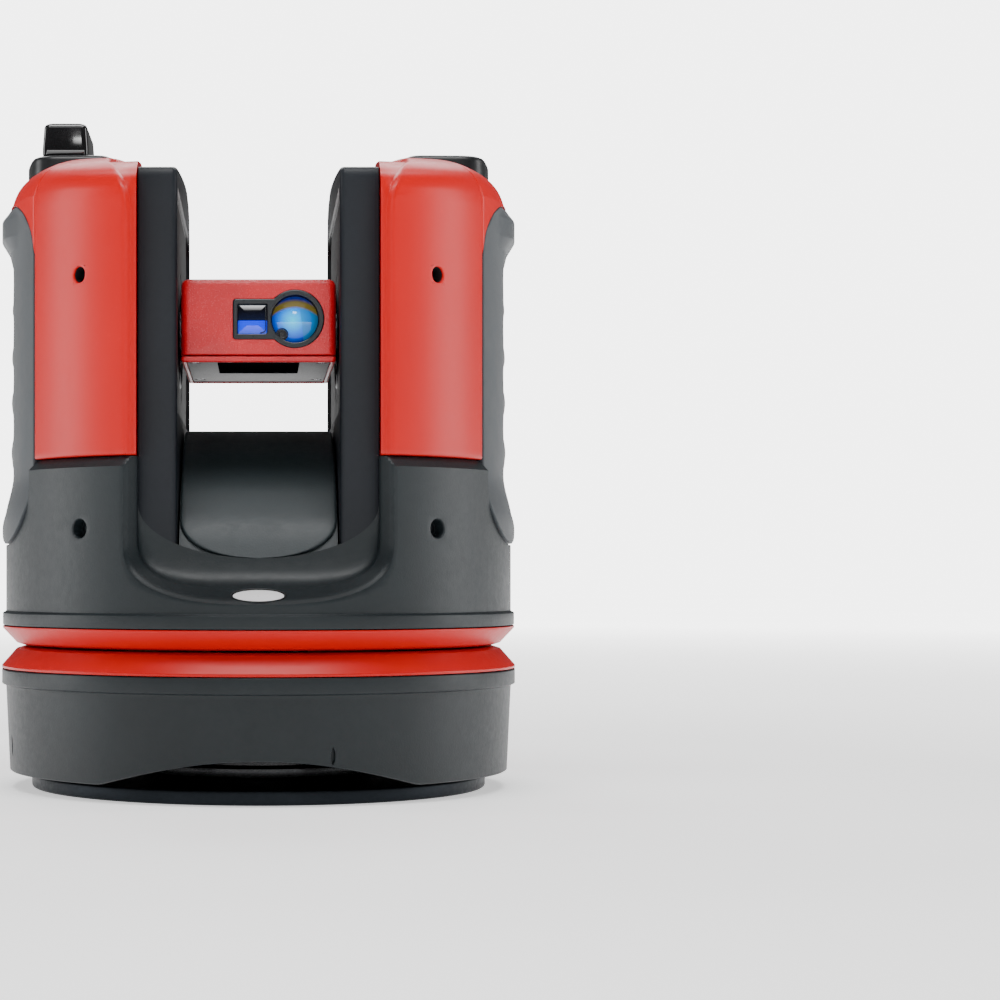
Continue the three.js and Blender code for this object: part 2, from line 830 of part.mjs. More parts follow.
function tiltAxle() {
  const sleeve = (x0, x1, r) => rod([x0, 0, TILT_Z], [x1, 0, TILT_Z], r, 36);
  let right = join(sleeve(20, TRUNNION_END, TRUNNION_R), sleeve(20, 22.9, 10.6));
  right = right.subtract(sleeve(15, 60, 6));
  add("trunnion_right", right, 0xa6abb0, 0.3, 1);
  add("trunnion_left", mirrored(right, 0), 0xa6abb0, 0.3, 1);
  const bearing = cut(sleeve(29, 36, 16), sleeve(20, 50, TRUNNION_R + GAP));
  add("tilt_bearing_right", bearing, 0x9aa0a6, 0.3, 1);
  add("tilt_bearing_left", mirrored(bearing, 0), 0x9aa0a6, 0.3, 1);
  const bore = sleeve(-60, -20, TRUNNION_R + GAP);
  const gear = cut(sleeve(-TILT_GEAR_X[1], -TILT_GEAR_X[0], TILT_GEAR_R), bore);
  add("tilt_gear", gear, 0xc9a24a, 0.35, 1);
}

function tiltDrive() {
  const z = TILT_Z - TILT_GEAR_R - TILT_PINION_R - GAP;
  const at = (x) => [x, 0, z];
  const motor = rod(at(-78), at(-47), 11, 32).subtract(rod(at(-56), at(-40), 2.8, 16));
  add("tilt_motor", motor, 0x6d7278, 0.4, 0.9);
  const wheel = rod(at(-TILT_GEAR_X[1]), at(-TILT_GEAR_X[0]), TILT_PINION_R, 32);
  add("tilt_pinion", wheel.add(rod(at(-54), at(-42), 2.4, 16)), 0xb98a3a, 0.35, 1);
}

function mainBoard() {
  add("main_board", block(-40, 40, -44, 44, 72, 73.6), 0x1d6b3a, 0.6, 0);
}

basePlate();
tripodInsert();
neckRing();
baseShell();
lowerRing();
batteryPack();
socket("power_socket", 14, 0x9aa0a6);
socket("data_socket", -14, 0x6d7278);
azimuthBearing();
azimuthDrive();
slipRingCore();
azimuthShaft();
upperRing();
lowerHousing();
badge();
housingScrews();
saddleCover();
towerFrame("tower_frame_right", 1);
towerFrame("tower_frame_left", -1);
redPanels();
grips();
topCaps();
powerButton();
transportLock();
headCover();
headUnderside();
headOptics();
tiltAxle();
tiltDrive();
mainBoard();

export default group;
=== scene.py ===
"""Looks of the laser station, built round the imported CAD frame. Shapes are given in millimetres."""

import math

import bmesh
import bpy
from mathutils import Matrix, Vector


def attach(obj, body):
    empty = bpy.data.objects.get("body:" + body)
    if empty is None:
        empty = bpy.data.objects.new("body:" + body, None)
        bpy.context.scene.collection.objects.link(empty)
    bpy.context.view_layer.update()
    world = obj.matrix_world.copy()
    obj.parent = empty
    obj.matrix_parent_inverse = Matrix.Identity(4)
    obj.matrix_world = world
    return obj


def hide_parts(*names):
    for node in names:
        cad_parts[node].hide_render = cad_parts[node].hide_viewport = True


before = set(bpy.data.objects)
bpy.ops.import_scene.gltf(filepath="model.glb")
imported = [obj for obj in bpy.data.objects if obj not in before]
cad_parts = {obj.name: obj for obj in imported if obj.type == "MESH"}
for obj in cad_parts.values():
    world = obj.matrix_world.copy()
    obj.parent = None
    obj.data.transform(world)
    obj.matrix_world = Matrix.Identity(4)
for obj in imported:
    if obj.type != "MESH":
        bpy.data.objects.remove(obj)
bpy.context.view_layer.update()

MM = 0.001
SPLIT_ANGLE = math.radians(32)

# ---------------------------------------------------------------- materials


def new_material(name):
    material = bpy.data.materials.new(name)
    material.use_nodes = True
    tree = material.node_tree
    return material, tree, tree.nodes["Principled BSDF"]


def noise(tree, scale, detail=3.0, rough=0.5, vector=None):
    node = tree.nodes.new("ShaderNodeTexNoise")
    node.inputs["Scale"].default_value = scale
    node.inputs["Detail"].default_value = detail
    node.inputs["Roughness"].default_value = rough
    if vector is None:
        vector = object_coords(tree)
    tree.links.new(vector, node.inputs["Vector"])
    return node


def object_coords(tree):
    return tree.nodes.new("ShaderNodeTexCoord").outputs["Object"]


def span(tree, value, low, high, to_low=0.0, to_high=1.0):
    node = tree.nodes.new("ShaderNodeMapRange")
    node.inputs["From Min"].default_value = low
    node.inputs["From Max"].default_value = high
    node.inputs["To Min"].default_value = to_low
    node.inputs["To Max"].default_value = to_high
    tree.links.new(value, node.inputs["Value"])
    return node.outputs["Result"]


def mixed(tree, factor, a, b):
    node = tree.nodes.new("ShaderNodeMix")
    node.data_type = "RGBA"
    for key, value in ((0, factor), (6, a), (7, b)):
        if isinstance(value, (tuple, list)):
            node.inputs[key].default_value = (*value[:3], 1.0)
        elif isinstance(value, (int, float)):
            node.inputs[key].default_value = value
        else:
            tree.links.new(value, node.inputs[key])
    return node.outputs[2]


def bump(tree, shader, height, strength, distance, before=None):
    node = tree.nodes.new("ShaderNodeBump")
    node.inputs["Strength"].default_value = strength
    node.inputs["Distance"].default_value = distance
    tree.links.new(height, node.inputs["Height"])
    if before is not None:
        tree.links.new(before, node.inputs["Normal"])
    tree.links.new(node.outputs["Normal"], shader.inputs["Normal"])
    return node.outputs["Normal"]


def moulded(name, colour, rough, grain=1700.0, depth=0.35, vary=0.16, coat=0.0, specular=0.5):
    """Injection-moulded plastic: fine spark-eroded grain and faint flow mottling."""
    material, tree, shader = new_material(name)
    fine = noise(tree, grain, 2.0, 0.6)
    broad = noise(tree, 24.0, 3.0, 0.55)
    dust = noise(tree, 420.0, 4.0, 0.7)
    light = tuple(min(1.0, c * (1 + vary) + 0.0008) for c in colour)
    dark = tuple(c * (1 - vary) for c in colour)
    base = mixed(tree, span(tree, broad.outputs["Fac"], 0.3, 0.7), dark, light)
    speck = span(tree, dust.outputs["Fac"], 0.62, 0.8, 0.0, 0.25)
    base = mixed(tree, speck, base, tuple(min(1.0, c * 1.5 + 0.002) for c in colour))
    tree.links.new(base, shader.inputs["Base Color"])
    gloss = span(tree, dust.outputs["Fac"], 0.3, 0.7, rough - 0.04, rough + 0.05)
    tree.links.new(gloss, shader.inputs["Roughness"])
    shader.inputs["Coat Weight"].default_value = coat
    shader.inputs["Coat Roughness"].default_value = 0.25
    shader.inputs["Specular IOR Level"].default_value = specular * 0.8
    bump(tree, shader, fine.outputs["Fac"], depth, 0.00012)
    return material


def pebbled(name, colour):
    """Textured paint on the head: rounded grains that catch small glints, with lighter pink painted on each grain's
    crown as a painted glint.
    """
    material, tree, shader = new_material(name)
    cells = tree.nodes.new("ShaderNodeTexVoronoi")
    cells.inputs["Scale"].default_value = 1500.0
    tree.links.new(object_coords(tree), cells.inputs["Vector"])
    broad = noise(tree, 60.0, 3.0)
    fine = noise(tree, 2600.0, 2.0)
    deep = tuple(c * 0.78 for c in colour)
    base = mixed(tree, span(tree, broad.outputs["Fac"], 0.3, 0.7), deep, colour)
    # lighter pink where each grain's bump is highest: painted glint on the grain crowns
    crown = span(tree, cells.outputs["Distance"], 0.05, 0.35, 0.22, 0.0)
    base = mixed(tree, crown, base, (0.95, 0.16, 0.17))
    tree.links.new(base, shader.inputs["Base Color"])
    gloss = span(tree, fine.outputs["Fac"], 0.3, 0.7, 0.30, 0.46)
    tree.links.new(gloss, shader.inputs["Roughness"])
    first = bump(tree, shader, span(tree, cells.outputs["Distance"], 0.0, 0.6, 1.0, 0.0), 0.5, 0.00016)
    bump(tree, shader, fine.outputs["Fac"], 0.2, 0.0001, first)
    return material


def rubbery(name, colour):
    """Soft-touch rubber: very fine matt grain and a dusty bloom."""
    material, tree, shader = new_material(name)
    fine = noise(tree, 2200.0, 3.0, 0.65)
    bloom = noise(tree, 90.0, 5.0, 0.6)
    light = tuple(c * 1.35 + 0.001 for c in colour)
    base = mixed(tree, span(tree, bloom.outputs["Fac"], 0.35, 0.72), colour, light)
    tree.links.new(base, shader.inputs["Base Color"])
    gloss = span(tree, bloom.outputs["Fac"], 0.3, 0.7, 0.52, 0.64)
    tree.links.new(gloss, shader.inputs["Roughness"])
    shader.inputs["Sheen Weight"].default_value = 0.12
    shader.inputs["Sheen Roughness"].default_value = 0.4
    bump(tree, shader, fine.outputs["Fac"], 0.3, 0.0001)
    return material


def metal(name, colour, rough, spin=None, streak=0.35, grain=900.0):
    """Machined metal: brushing across spin, or turning marks about Z, with slight tarnish."""
    material, tree, shader = new_material(name)
    shader.inputs["Metallic"].default_value = 1.0
    coords = object_coords(tree)
    stretch = tree.nodes.new("ShaderNodeMapping")
    stretch.inputs["Scale"].default_value = spin or (1.0, 1.0, 1.0)
    tree.links.new(coords, stretch.inputs["Vector"])
    marks = noise(tree, grain, 4.0, 0.6, stretch.outputs["Vector"])
    tarnish = noise(tree, 45.0, 4.0, 0.6)
    dull = tuple(c * 0.78 for c in colour)
    base = mixed(tree, span(tree, tarnish.outputs["Fac"], 0.3, 0.75), dull, colour)
    tree.links.new(base, shader.inputs["Base Color"])
    gloss = span(tree, marks.outputs["Fac"], 0.25, 0.75, rough - 0.06, rough + 0.1)
    tree.links.new(gloss, shader.inputs["Roughness"])
    bump(tree, shader, marks.outputs["Fac"], streak, 0.00006)
    return material


def piano_black(name):
    """High-gloss black with faint polishing haze."""
    material, tree, shader = new_material(name)
    haze = noise(tree, 130.0, 4.0, 0.6)
    base = mixed(tree, span(tree, haze.outputs["Fac"], 0.35, 0.7), (0.003, 0.003, 0.0035), (0.008, 0.008, 0.009))
    tree.links.new(base, shader.inputs["Base Color"])
    gloss = span(tree, haze.outputs["Fac"], 0.3, 0.8, 0.05, 0.13)
    tree.links.new(gloss, shader.inputs["Roughness"])
    shader.inputs["Coat Weight"].default_value = 0.6
    shader.inputs["Coat Roughness"].default_value = 0.04
    bump(tree, shader, haze.outputs["Fac"], 0.03, 0.0001)
    return material


def circuit(name):
    """Solder resist with copper traces under it."""
    material, tree, shader = new_material(name)
    bricks = tree.nodes.new("ShaderNodeTexBrick")
    bricks.inputs["Scale"].default_value = 160.0
    bricks.inputs["Mortar Size"].default_value = 0.03
    bricks.inputs["Color1"].default_value = (0.010, 0.075, 0.028, 1)
    bricks.inputs["Color2"].default_value = (0.013, 0.095, 0.036, 1)
    bricks.inputs["Mortar"].default_value = (0.05, 0.19, 0.07, 1)
    tree.links.new(object_coords(tree), bricks.inputs["Vector"])
    tree.links.new(bricks.outputs["Color"], shader.inputs["Base Color"])
    grime = noise(tree, 300.0, 3.0)
    tree.links.new(span(tree, grime.outputs["Fac"], 0.3, 0.7, 0.3, 0.45), shader.inputs["Roughness"])
    bump(tree, shader, bricks.outputs["Fac"], 0.3, 0.00005)
    return material


def separate(tree, vector):
    node = tree.nodes.new("ShaderNodeSeparateXYZ")
    tree.links.new(vector, node.inputs[0])
    return node.outputs


def math_node(tree, kind, a, b=0.0, c=0.0):
    node = tree.nodes.new("ShaderNodeMath")
    node.operation = kind
    for i, value in enumerate((a, b, c)):
        if isinstance(value, (int, float)):
            node.inputs[i].default_value = value
        else:
            tree.links.new(value, node.inputs[i])
    return node.outputs[0]


def ramp(tree, value, stops, kind="LINEAR"):
    node = tree.nodes.new("ShaderNodeValToRGB")
    node.color_ramp.interpolation = kind
    band = node.color_ramp.elements
    while len(band) < len(stops):
        band.new(0.5)
    for element, (place, colour) in zip(band, stops):
        element.position = place
        element.color = (*colour, 1.0)
    tree.links.new(value, node.inputs["Fac"])
    return node.outputs["Color"]


LENS = (12.4, 163.3)
LENS_R = 7.8
HEAD_FRONT = -62.0


def lens_painted_reflections(name):
    """Blue-green coated receiver lens with painted reflections: bright core, brown upper band, dark navy rim and a
    side facet; the colours also glow as painted light.
    """
    material, tree, shader = new_material(name)
    x, _, z = separate(tree, object_coords(tree))[0:3]
    across = math_node(tree, "DIVIDE", math_node(tree, "SUBTRACT", x, LENS[0] * MM), LENS_R * MM)
    up = math_node(tree, "DIVIDE", math_node(tree, "SUBTRACT", z, LENS[1] * MM), LENS_R * MM)
    ax = math_node(tree, "ADD", across, 0.10)
    az = math_node(tree, "ADD", up, 0.06)
    core = math_node(tree, "SQRT", math_node(tree, "ADD", math_node(tree, "MULTIPLY", ax, ax),
                                             math_node(tree, "MULTIPLY", az, az)))
    colour = ramp(tree, core, [(0.0, (0.0, 0.50, 0.80)), (0.28, (0.0, 0.33, 0.74)), (0.55, (0.0, 0.14, 0.62)),
                               (0.80, (0.0, 0.05, 0.45)), (1.0, (0.001, 0.012, 0.14))])
    facet = math_node(tree, "ADD", math_node(tree, "MULTIPLY", across, 1.0), math_node(tree, "MULTIPLY", up, 0.12))
    side = span(tree, facet, 0.24, 0.30, 0.0, 0.55)
    colour = mixed(tree, side, colour, (0.005, 0.15, 0.26))
    top = math_node(tree, "ADD", up, math_node(tree, "MULTIPLY", math_node(tree, "MULTIPLY", across, across), 0.35))
    colour = mixed(tree, span(tree, top, 0.44, 0.56), colour, (0.10, 0.075, 0.012))
    colour = mixed(tree, span(tree, top, 0.76, 0.90), colour, (0.004, 0.012, 0.16))
    tree.links.new(colour, shader.inputs["Base Color"])
    # the lens colours also glow: painted glow, the lens is no lamp
    tree.links.new(colour, shader.inputs["Emission Color"])
    shader.inputs["Emission Strength"].default_value = 0.55
    swirl = noise(tree, 500.0, 2.0)
    tree.links.new(span(tree, swirl.outputs["Fac"], 0.3, 0.7, 0.03, 0.09), shader.inputs["Roughness"])
    shader.inputs["Specular IOR Level"].default_value = 0.25
    shader.inputs["Coat Weight"].default_value = 0.25
    shader.inputs["Coat Roughness"].default_value = 0.02
    return material


def window_painted_glow(name):
    """Camera window: dark upper half, blue lower half behind polished glass; the colours also glow as painted light.
    """
    material, tree, shader = new_material(name)
    x, _, z = separate(tree, object_coords(tree))[0:3]
    colour = ramp(tree, span(tree, z, 158.1 * MM, 168.4 * MM), [
        (0.0, (0.03, 0.07, 0.60)), (0.16, (0.006, 0.03, 0.75)), (0.44, (0.0, 0.015, 0.80)),
        (0.47, (0.004, 0.006, 0.02)), (0.86, (0.002, 0.002, 0.003)), (1.0, (0.02, 0.03, 0.04))])
    tree.links.new(colour, shader.inputs["Base Color"])
    # the window colours glow: painted glow, the window is no lamp
    tree.links.new(colour, shader.inputs["Emission Color"])
    shader.inputs["Emission Strength"].default_value = 0.5
    smear = noise(tree, 240.0, 3.0)
    tree.links.new(span(tree, smear.outputs["Fac"], 0.3, 0.7, 0.03, 0.08), shader.inputs["Roughness"])
    shader.inputs["Specular IOR Level"].default_value = 0.25
    shader.inputs["Coat Weight"].default_value = 0.25
    shader.inputs["Coat Roughness"].default_value = 0.02
    return material


MAT = {
    "dark": moulded("dark_plastic", (0.0065, 0.0105, 0.0125), 0.44, 1500.0, 0.30, 0.16, 0.0, 0.42),
    # lighter copy of the dark plastic for the saddle: painted light where the head shades it from the lamps
    "saddle": moulded("saddle_plastic_painted_light", (0.016, 0.023, 0.026), 0.44, 1500.0, 0.30, 0.16, 0.0, 0.42),
    "frame": moulded("frame_plastic", (0.0045, 0.0065, 0.010), 0.46, 1700.0, 0.22, 0.16, 0.0, 0.34),
    "red": moulded("red_plastic", (0.50, 0.0, 0.0), 0.36, 2100.0, 0.10, 0.03, 0.06, 0.3),
    "paint": pebbled("red_paint", (0.50, 0.0, 0.006)),
    "rubber": rubbery("grip_rubber", (0.012, 0.017, 0.021)),
    "cap": moulded("cap_plastic", (0.006, 0.007, 0.008), 0.34, 1700.0, 0.12),
    "gloss": piano_black("gloss_black"),
    "bezel": moulded("bezel_black", (0.009, 0.011, 0.014), 0.30, 2000.0, 0.10),
    # matt black used only to paint shade: the ring round the badge, the tower recesses and the panel screw holes
    "pit": moulded("painted_shade_black", (0.004, 0.005, 0.006), 0.55, 1500.0, 0.2),
    "plate": metal("plate_alloy", (0.022, 0.026, 0.031), 0.45, (1, 1, 1), 0.25, 700.0),
    "bright": metal("bright_alloy", (0.07, 0.072, 0.075), 0.2, (1, 1, 9), 0.1),
    "cast": metal("head_alloy", (0.12, 0.122, 0.125), 0.55, (1, 1, 1), 0.6, 1500.0),
    "steel": metal("steel", (0.52, 0.53, 0.55), 0.24, (6, 1, 1)),
    "brass": metal("brass", (0.70, 0.48, 0.17), 0.26, (5, 1, 1)),
    "board": circuit("board"),
    "battery": moulded("battery_wrap", (0.03, 0.07, 0.14), 0.4, 900.0, 0.1),
    "label": moulded("label_film", (0.002, 0.0022, 0.0025), 0.9, 900.0, 0.06, 0.16, 0.0, 0.0),
    "badge": moulded("badge_metal", (0.80, 0.79, 0.80), 0.3, 1500.0, 0.05, 0.06),
    "lens": lens_painted_reflections("lens_glass"),
    "window": window_painted_glow("window_glass"),
    "sensor": moulded("sensor_black", (0.010, 0.010, 0.012), 0.5, 1200.0, 0.2),
}

# ---------------------------------------------------------------- mesh tools


def piece(name, verts, faces, look, body, nodes=(), angle=SPLIT_ANGLE, thick=None, recalc=True):
    """A shown piece from millimetre points, riding on a body and standing for CAD nodes."""
    mesh = bpy.data.meshes.new(name)
    mesh.from_pydata([(x * MM, y * MM, z * MM) for x, y, z in verts], [], faces)
    work = bmesh.new()
    work.from_mesh(mesh)
    bmesh.ops.remove_doubles(work, verts=work.verts, dist=2e-6)
    bmesh.ops.dissolve_degenerate(work, edges=work.edges, dist=1e-7)
    if recalc:
        bmesh.ops.recalc_face_normals(work, faces=work.faces)
    work.to_mesh(mesh)
    work.free()
    obj = bpy.data.objects.new(name, mesh)
    bpy.context.scene.collection.objects.link(obj)
    if thick:
        skin = obj.modifiers.new("skin", "SOLIDIFY")
        skin.thickness = thick * MM
        skin.offset = -1.0
        settle(obj)
    mesh = obj.data
    mesh.polygons.foreach_set("use_smooth", [True] * len(mesh.polygons))
    mesh.set_sharp_from_angle(angle=angle)
    mesh.materials.append(MAT[look])
    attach(obj, body)
    if nodes:
        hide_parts(*nodes)
    return obj


def settle(obj):
    """Applies the modifiers to the mesh."""
    graph = bpy.context.evaluated_depsgraph_get()
    mesh = bpy.data.meshes.new_from_object(obj.evaluated_get(graph), depsgraph=graph)
    obj.modifiers.clear()
    obj.data = mesh


def polar(r, degrees):
    """X and Y at an angle measured from the front towards +X."""
    a = math.radians(degrees)
    return r * math.sin(a), -r * math.cos(a)


def spread(a, b, n):
    return [a + (b - a) * i / n for i in range(n + 1)]


def weld(rows, wrap=False):
    """Quads between rows of equal length."""
    n = len(rows[0])
    verts = [p for row in rows for p in row]
    faces = []
    for j in range(len(rows) - 1):
        for i in range(n if wrap else n - 1):
            k = (i + 1) % n
            faces.append((j * n + i, j * n + k, (j + 1) * n + k, (j + 1) * n + i))
    return verts, faces


def merge(*parts):
    verts, faces = [], []
    for v, f in parts:
        base = len(verts)
        verts += v
        faces += [tuple(i + base for i in face) for face in f]
    return verts, faces


def rounded(points, radius=0.4, steps=4, closed=True):
    """Polyline with each corner replaced by an arc; a point may carry its own radius."""
    out = []
    n = len(points)
    for i, point in enumerate(points):
        p = Vector(point[:2])
        r = point[2] if len(point) > 2 else radius
        if (not closed and i in (0, n - 1)) or r <= 0:
            out.append((p.x, p.y))
            continue
        a = Vector(points[i - 1][:2]) - p
        b = Vector(points[(i + 1) % n][:2]) - p
        angle = a.angle(b)
        if angle > math.radians(176):
            out.append((p.x, p.y))
            continue
        reach = min(r / math.tan(angle / 2), 0.45 * a.length, 0.45 * b.length)
        start, end = p + a.normalized() * reach, p + b.normalized() * reach
        for k in range(steps + 1):
            t = k / steps
            mid = start * (1 - t) ** 2 + p * 2 * t * (1 - t) + end * t * t
            out.append((mid.x, mid.y))
    return out


def turned(profile, n=200, centre=(0.0, 0.0), base_z=0.0):
    """Full turn of a closed (r, z) profile about Z."""
    rows = []
    for r, z in [*profile, profile[0]]:
        row = []
        for i in range(n):
            x, y = polar(r, 360.0 * i / n)
            row.append((x + centre[0], y + centre[1], z + base_z))
        rows.append(row)
    return weld(rows, True)


def lathe(profile, origin, axis, n=48):
    """Full turn of an open or closed (r, h) profile about any axis; r may be 0 at its ends."""
    axis = Vector(axis).normalized()
    side = axis.orthogonal().normalized()
    other = axis.cross(side)
    rows = []
    for r, h in profile:
        row = []
        for i in range(n):
            a = math.tau * i / n
            point = Vector(origin) + axis * h + (side * math.cos(a) + other * math.sin(a)) * r
            row.append(tuple(point))
        rows.append(row)
    return weld(rows, True)


def fan(loop, centre=None):
    """Triangles from a loop to its middle."""
    n = len(loop)
    if centre is None:
        centre = tuple(sum(p[k] for p in loop) / n for k in range(3))
    return [*loop, centre], [(i, (i + 1) % n, n) for i in range(n)]


def skin(us, vs, point, metric, holes=()):
    """Grid of point(u, v, inset) with round or slot-shaped holes whose walls run inwards."""
    blocks = []
    for hole in holes:
        hu, hv = hole["u"], hole["v"]
        ru, rv = (hole["ru"] + hole["room"][0]) / metric, hole["rv"] + hole["room"][1]
        ins = [i for i, u in enumerate(us) if hu - ru <= u <= hu + ru]
        jns = [j for j, v in enumerate(vs) if hv - rv <= v <= hv + rv]
        blocks.append((ins[0] - 1, ins[-1] + 1, jns[0] - 1, jns[-1] + 1))
    verts = [point(u, v, 0.0) for v in vs for u in us]
    n = len(us)
    faces = []
    for j in range(len(vs) - 1):
        for i in range(n - 1):
            if any(a <= i < b and c <= j < d for a, b, c, d in blocks):
                continue
            faces.append((j * n + i, j * n + i + 1, (j + 1) * n + i + 1, (j + 1) * n + i))
    parts = [(verts, faces)]
    for hole, (a, b, c, d) in zip(holes, blocks):
        rim = [(us[i], vs[c]) for i in range(a, b)]
        rim += [(us[b], vs[j]) for j in range(c, d)]
        rim += [(us[i], vs[d]) for i in range(b, a, -1)]
        rim += [(us[a], vs[j]) for j in range(d, c, -1)]
        edge, power = hole.get("edge", 0.4), hole.get("power", 2.0)
        circle = []
        for u, v in rim:
            x, y = (u - hole["u"]) * metric, v - hole["v"]
            size = (abs(x / hole["ru"]) ** power + abs(y / hole["rv"]) ** power) ** (1 / power)
            circle.append((x / size, y / size))
        rows = [[point(u, v, 0.0) for u, v in rim]]

        def ring(grow, inset):
            row = []
            for x, y in circle:
                far = math.hypot(x, y)
                k = (far + grow) / far
                row.append(point(hole["u"] + x * k / metric, hole["v"] + y * k, inset))
            return row

        half = [tuple((p + q) / 2 for p, q in zip(s, t)) for s, t in zip(rows[0], ring(edge, 0.0))]
        rows += [half, ring(edge, 0.0)]
        for k in range(1, 5):
            a1 = math.pi / 2 * k / 4
            rows.append(ring(edge * (1 - math.sin(a1)), edge * (1 - math.cos(a1))))
        rows.append(ring(0.0, hole["depth"]))
        parts.append(weld(rows, True))
        if hole.get("floor", True):
            parts.append(fan(rows[-1]))
    return merge(*parts)


def offset_loop(loop, d):
    """Closed 2-D loop moved inwards by d."""
    n = len(loop)
    area = sum(loop[i][0] * loop[(i + 1) % n][1] - loop[(i + 1) % n][0] * loop[i][1] for i in range(n))
    turn = 1.0 if area > 0 else -1.0
    out = []
    for i in range(n):
        p, a, b = Vector(loop[i]), Vector(loop[i - 1]), Vector(loop[(i + 1) % n])
        e1, e2 = (p - a), (b - p)
        if e1.length < 1e-9 or e2.length < 1e-9:
            e1 = e2 = (b - a)
        n1 = Vector((-e1.y, e1.x)).normalized() * turn
        n2 = Vector((-e2.y, e2.x)).normalized() * turn
        mid = n1 + n2
        if mid.length < 1e-6:
            mid = n1
        mid = mid / max(0.35, mid.length_squared / 2) if mid.length_squared > 0 else n1
        out.append((p.x + mid.x * d, p.y + mid.y * d))
    return out


def slab(loop, low, high, edge, place, steps=3):
    """Prism over a closed 2-D loop with rounded rims; place(a, b, h) gives the point."""
    rows = []
    for k in range(steps + 1):
        a = math.pi / 2 * k / steps
        ring = offset_loop(loop, edge * (1 - math.sin(a)))
        rows.append([place(p, q, low + edge * (1 - math.cos(a))) for p, q in ring])
    for k in range(steps + 1):
        a = math.pi / 2 * (1 - k / steps)
        ring = offset_loop(loop, edge * (1 - math.sin(a)))
        rows.append([place(p, q, high - edge * (1 - math.cos(a))) for p, q in ring])
    return merge(weld(rows, True), fan(rows[0]), fan(rows[-1]))


def rectangle(x0, x1, y0, y1, r, steps=5):
    return rounded([(x0, y0), (x1, y0), (x1, y1), (x0, y1)], r, steps)


def screw(name, body, nodes, origin, axis, r, length, look="plate"):
    """Cap screw with a dished head and a hexagon socket."""
    hexagon = []
    axis = Vector(axis).normalized()
    profile = [(0.0, -length), (r * 0.55, -length), (r * 0.55, -2.2), (r, -2.2), (r, -0.35), (r * 0.93, -0.08),
               (r * 0.84, 0.0), (r * 0.62, 0.0)]
    body_part = lathe(profile, origin, axis, 36)
    side = axis.orthogonal().normalized()
    other = axis.cross(side)
    rows = []
    for reach, h, corner in ((r * 0.62, 0.0, 0.0), (r * 0.5, -0.06, 1.0), (r * 0.5, -1.4, 1.0)):
        row = []
        for i in range(36):
            a = math.tau * i / 36
            local = (a % (math.tau / 6)) - math.tau / 12
            size = reach * (1 - corner + corner * math.cos(math.tau / 12) / math.cos(local))
            row.append(tuple(Vector(origin) + axis * h + (side * math.cos(a) + other * math.sin(a)) * size))
        rows.append(row)
    socket = weld(rows, True)
    bottom = fan(rows[-1])
    return piece(name, *merge(body_part, socket, bottom), look, body, nodes)


def smooth_line(points, per=6):
    """Catmull-Rom line through 2-D points."""
    out = []
    n = len(points)
    for i in range(n - 1):
        p0 = Vector(points[max(i - 1, 0)])
        p1, p2 = Vector(points[i]), Vector(points[i + 1])
        p3 = Vector(points[min(i + 2, n - 1)])
        for k in range(per):
            t = k / per
            q = 0.5 * ((2 * p1) + (p2 - p0) * t + (2 * p0 - 5 * p1 + 4 * p2 - p3) * t * t
                       + (3 * p1 - p0 - 3 * p2 + p3) * t ** 3)
            out.append((q.x, q.y))
    out.append(tuple(points[-1]))
    return out


def flipped(verts, axis):
    return [tuple(-c if k == axis else c for k, c in enumerate(p)) for p in verts]


# ---------------------------------------------------------------- base


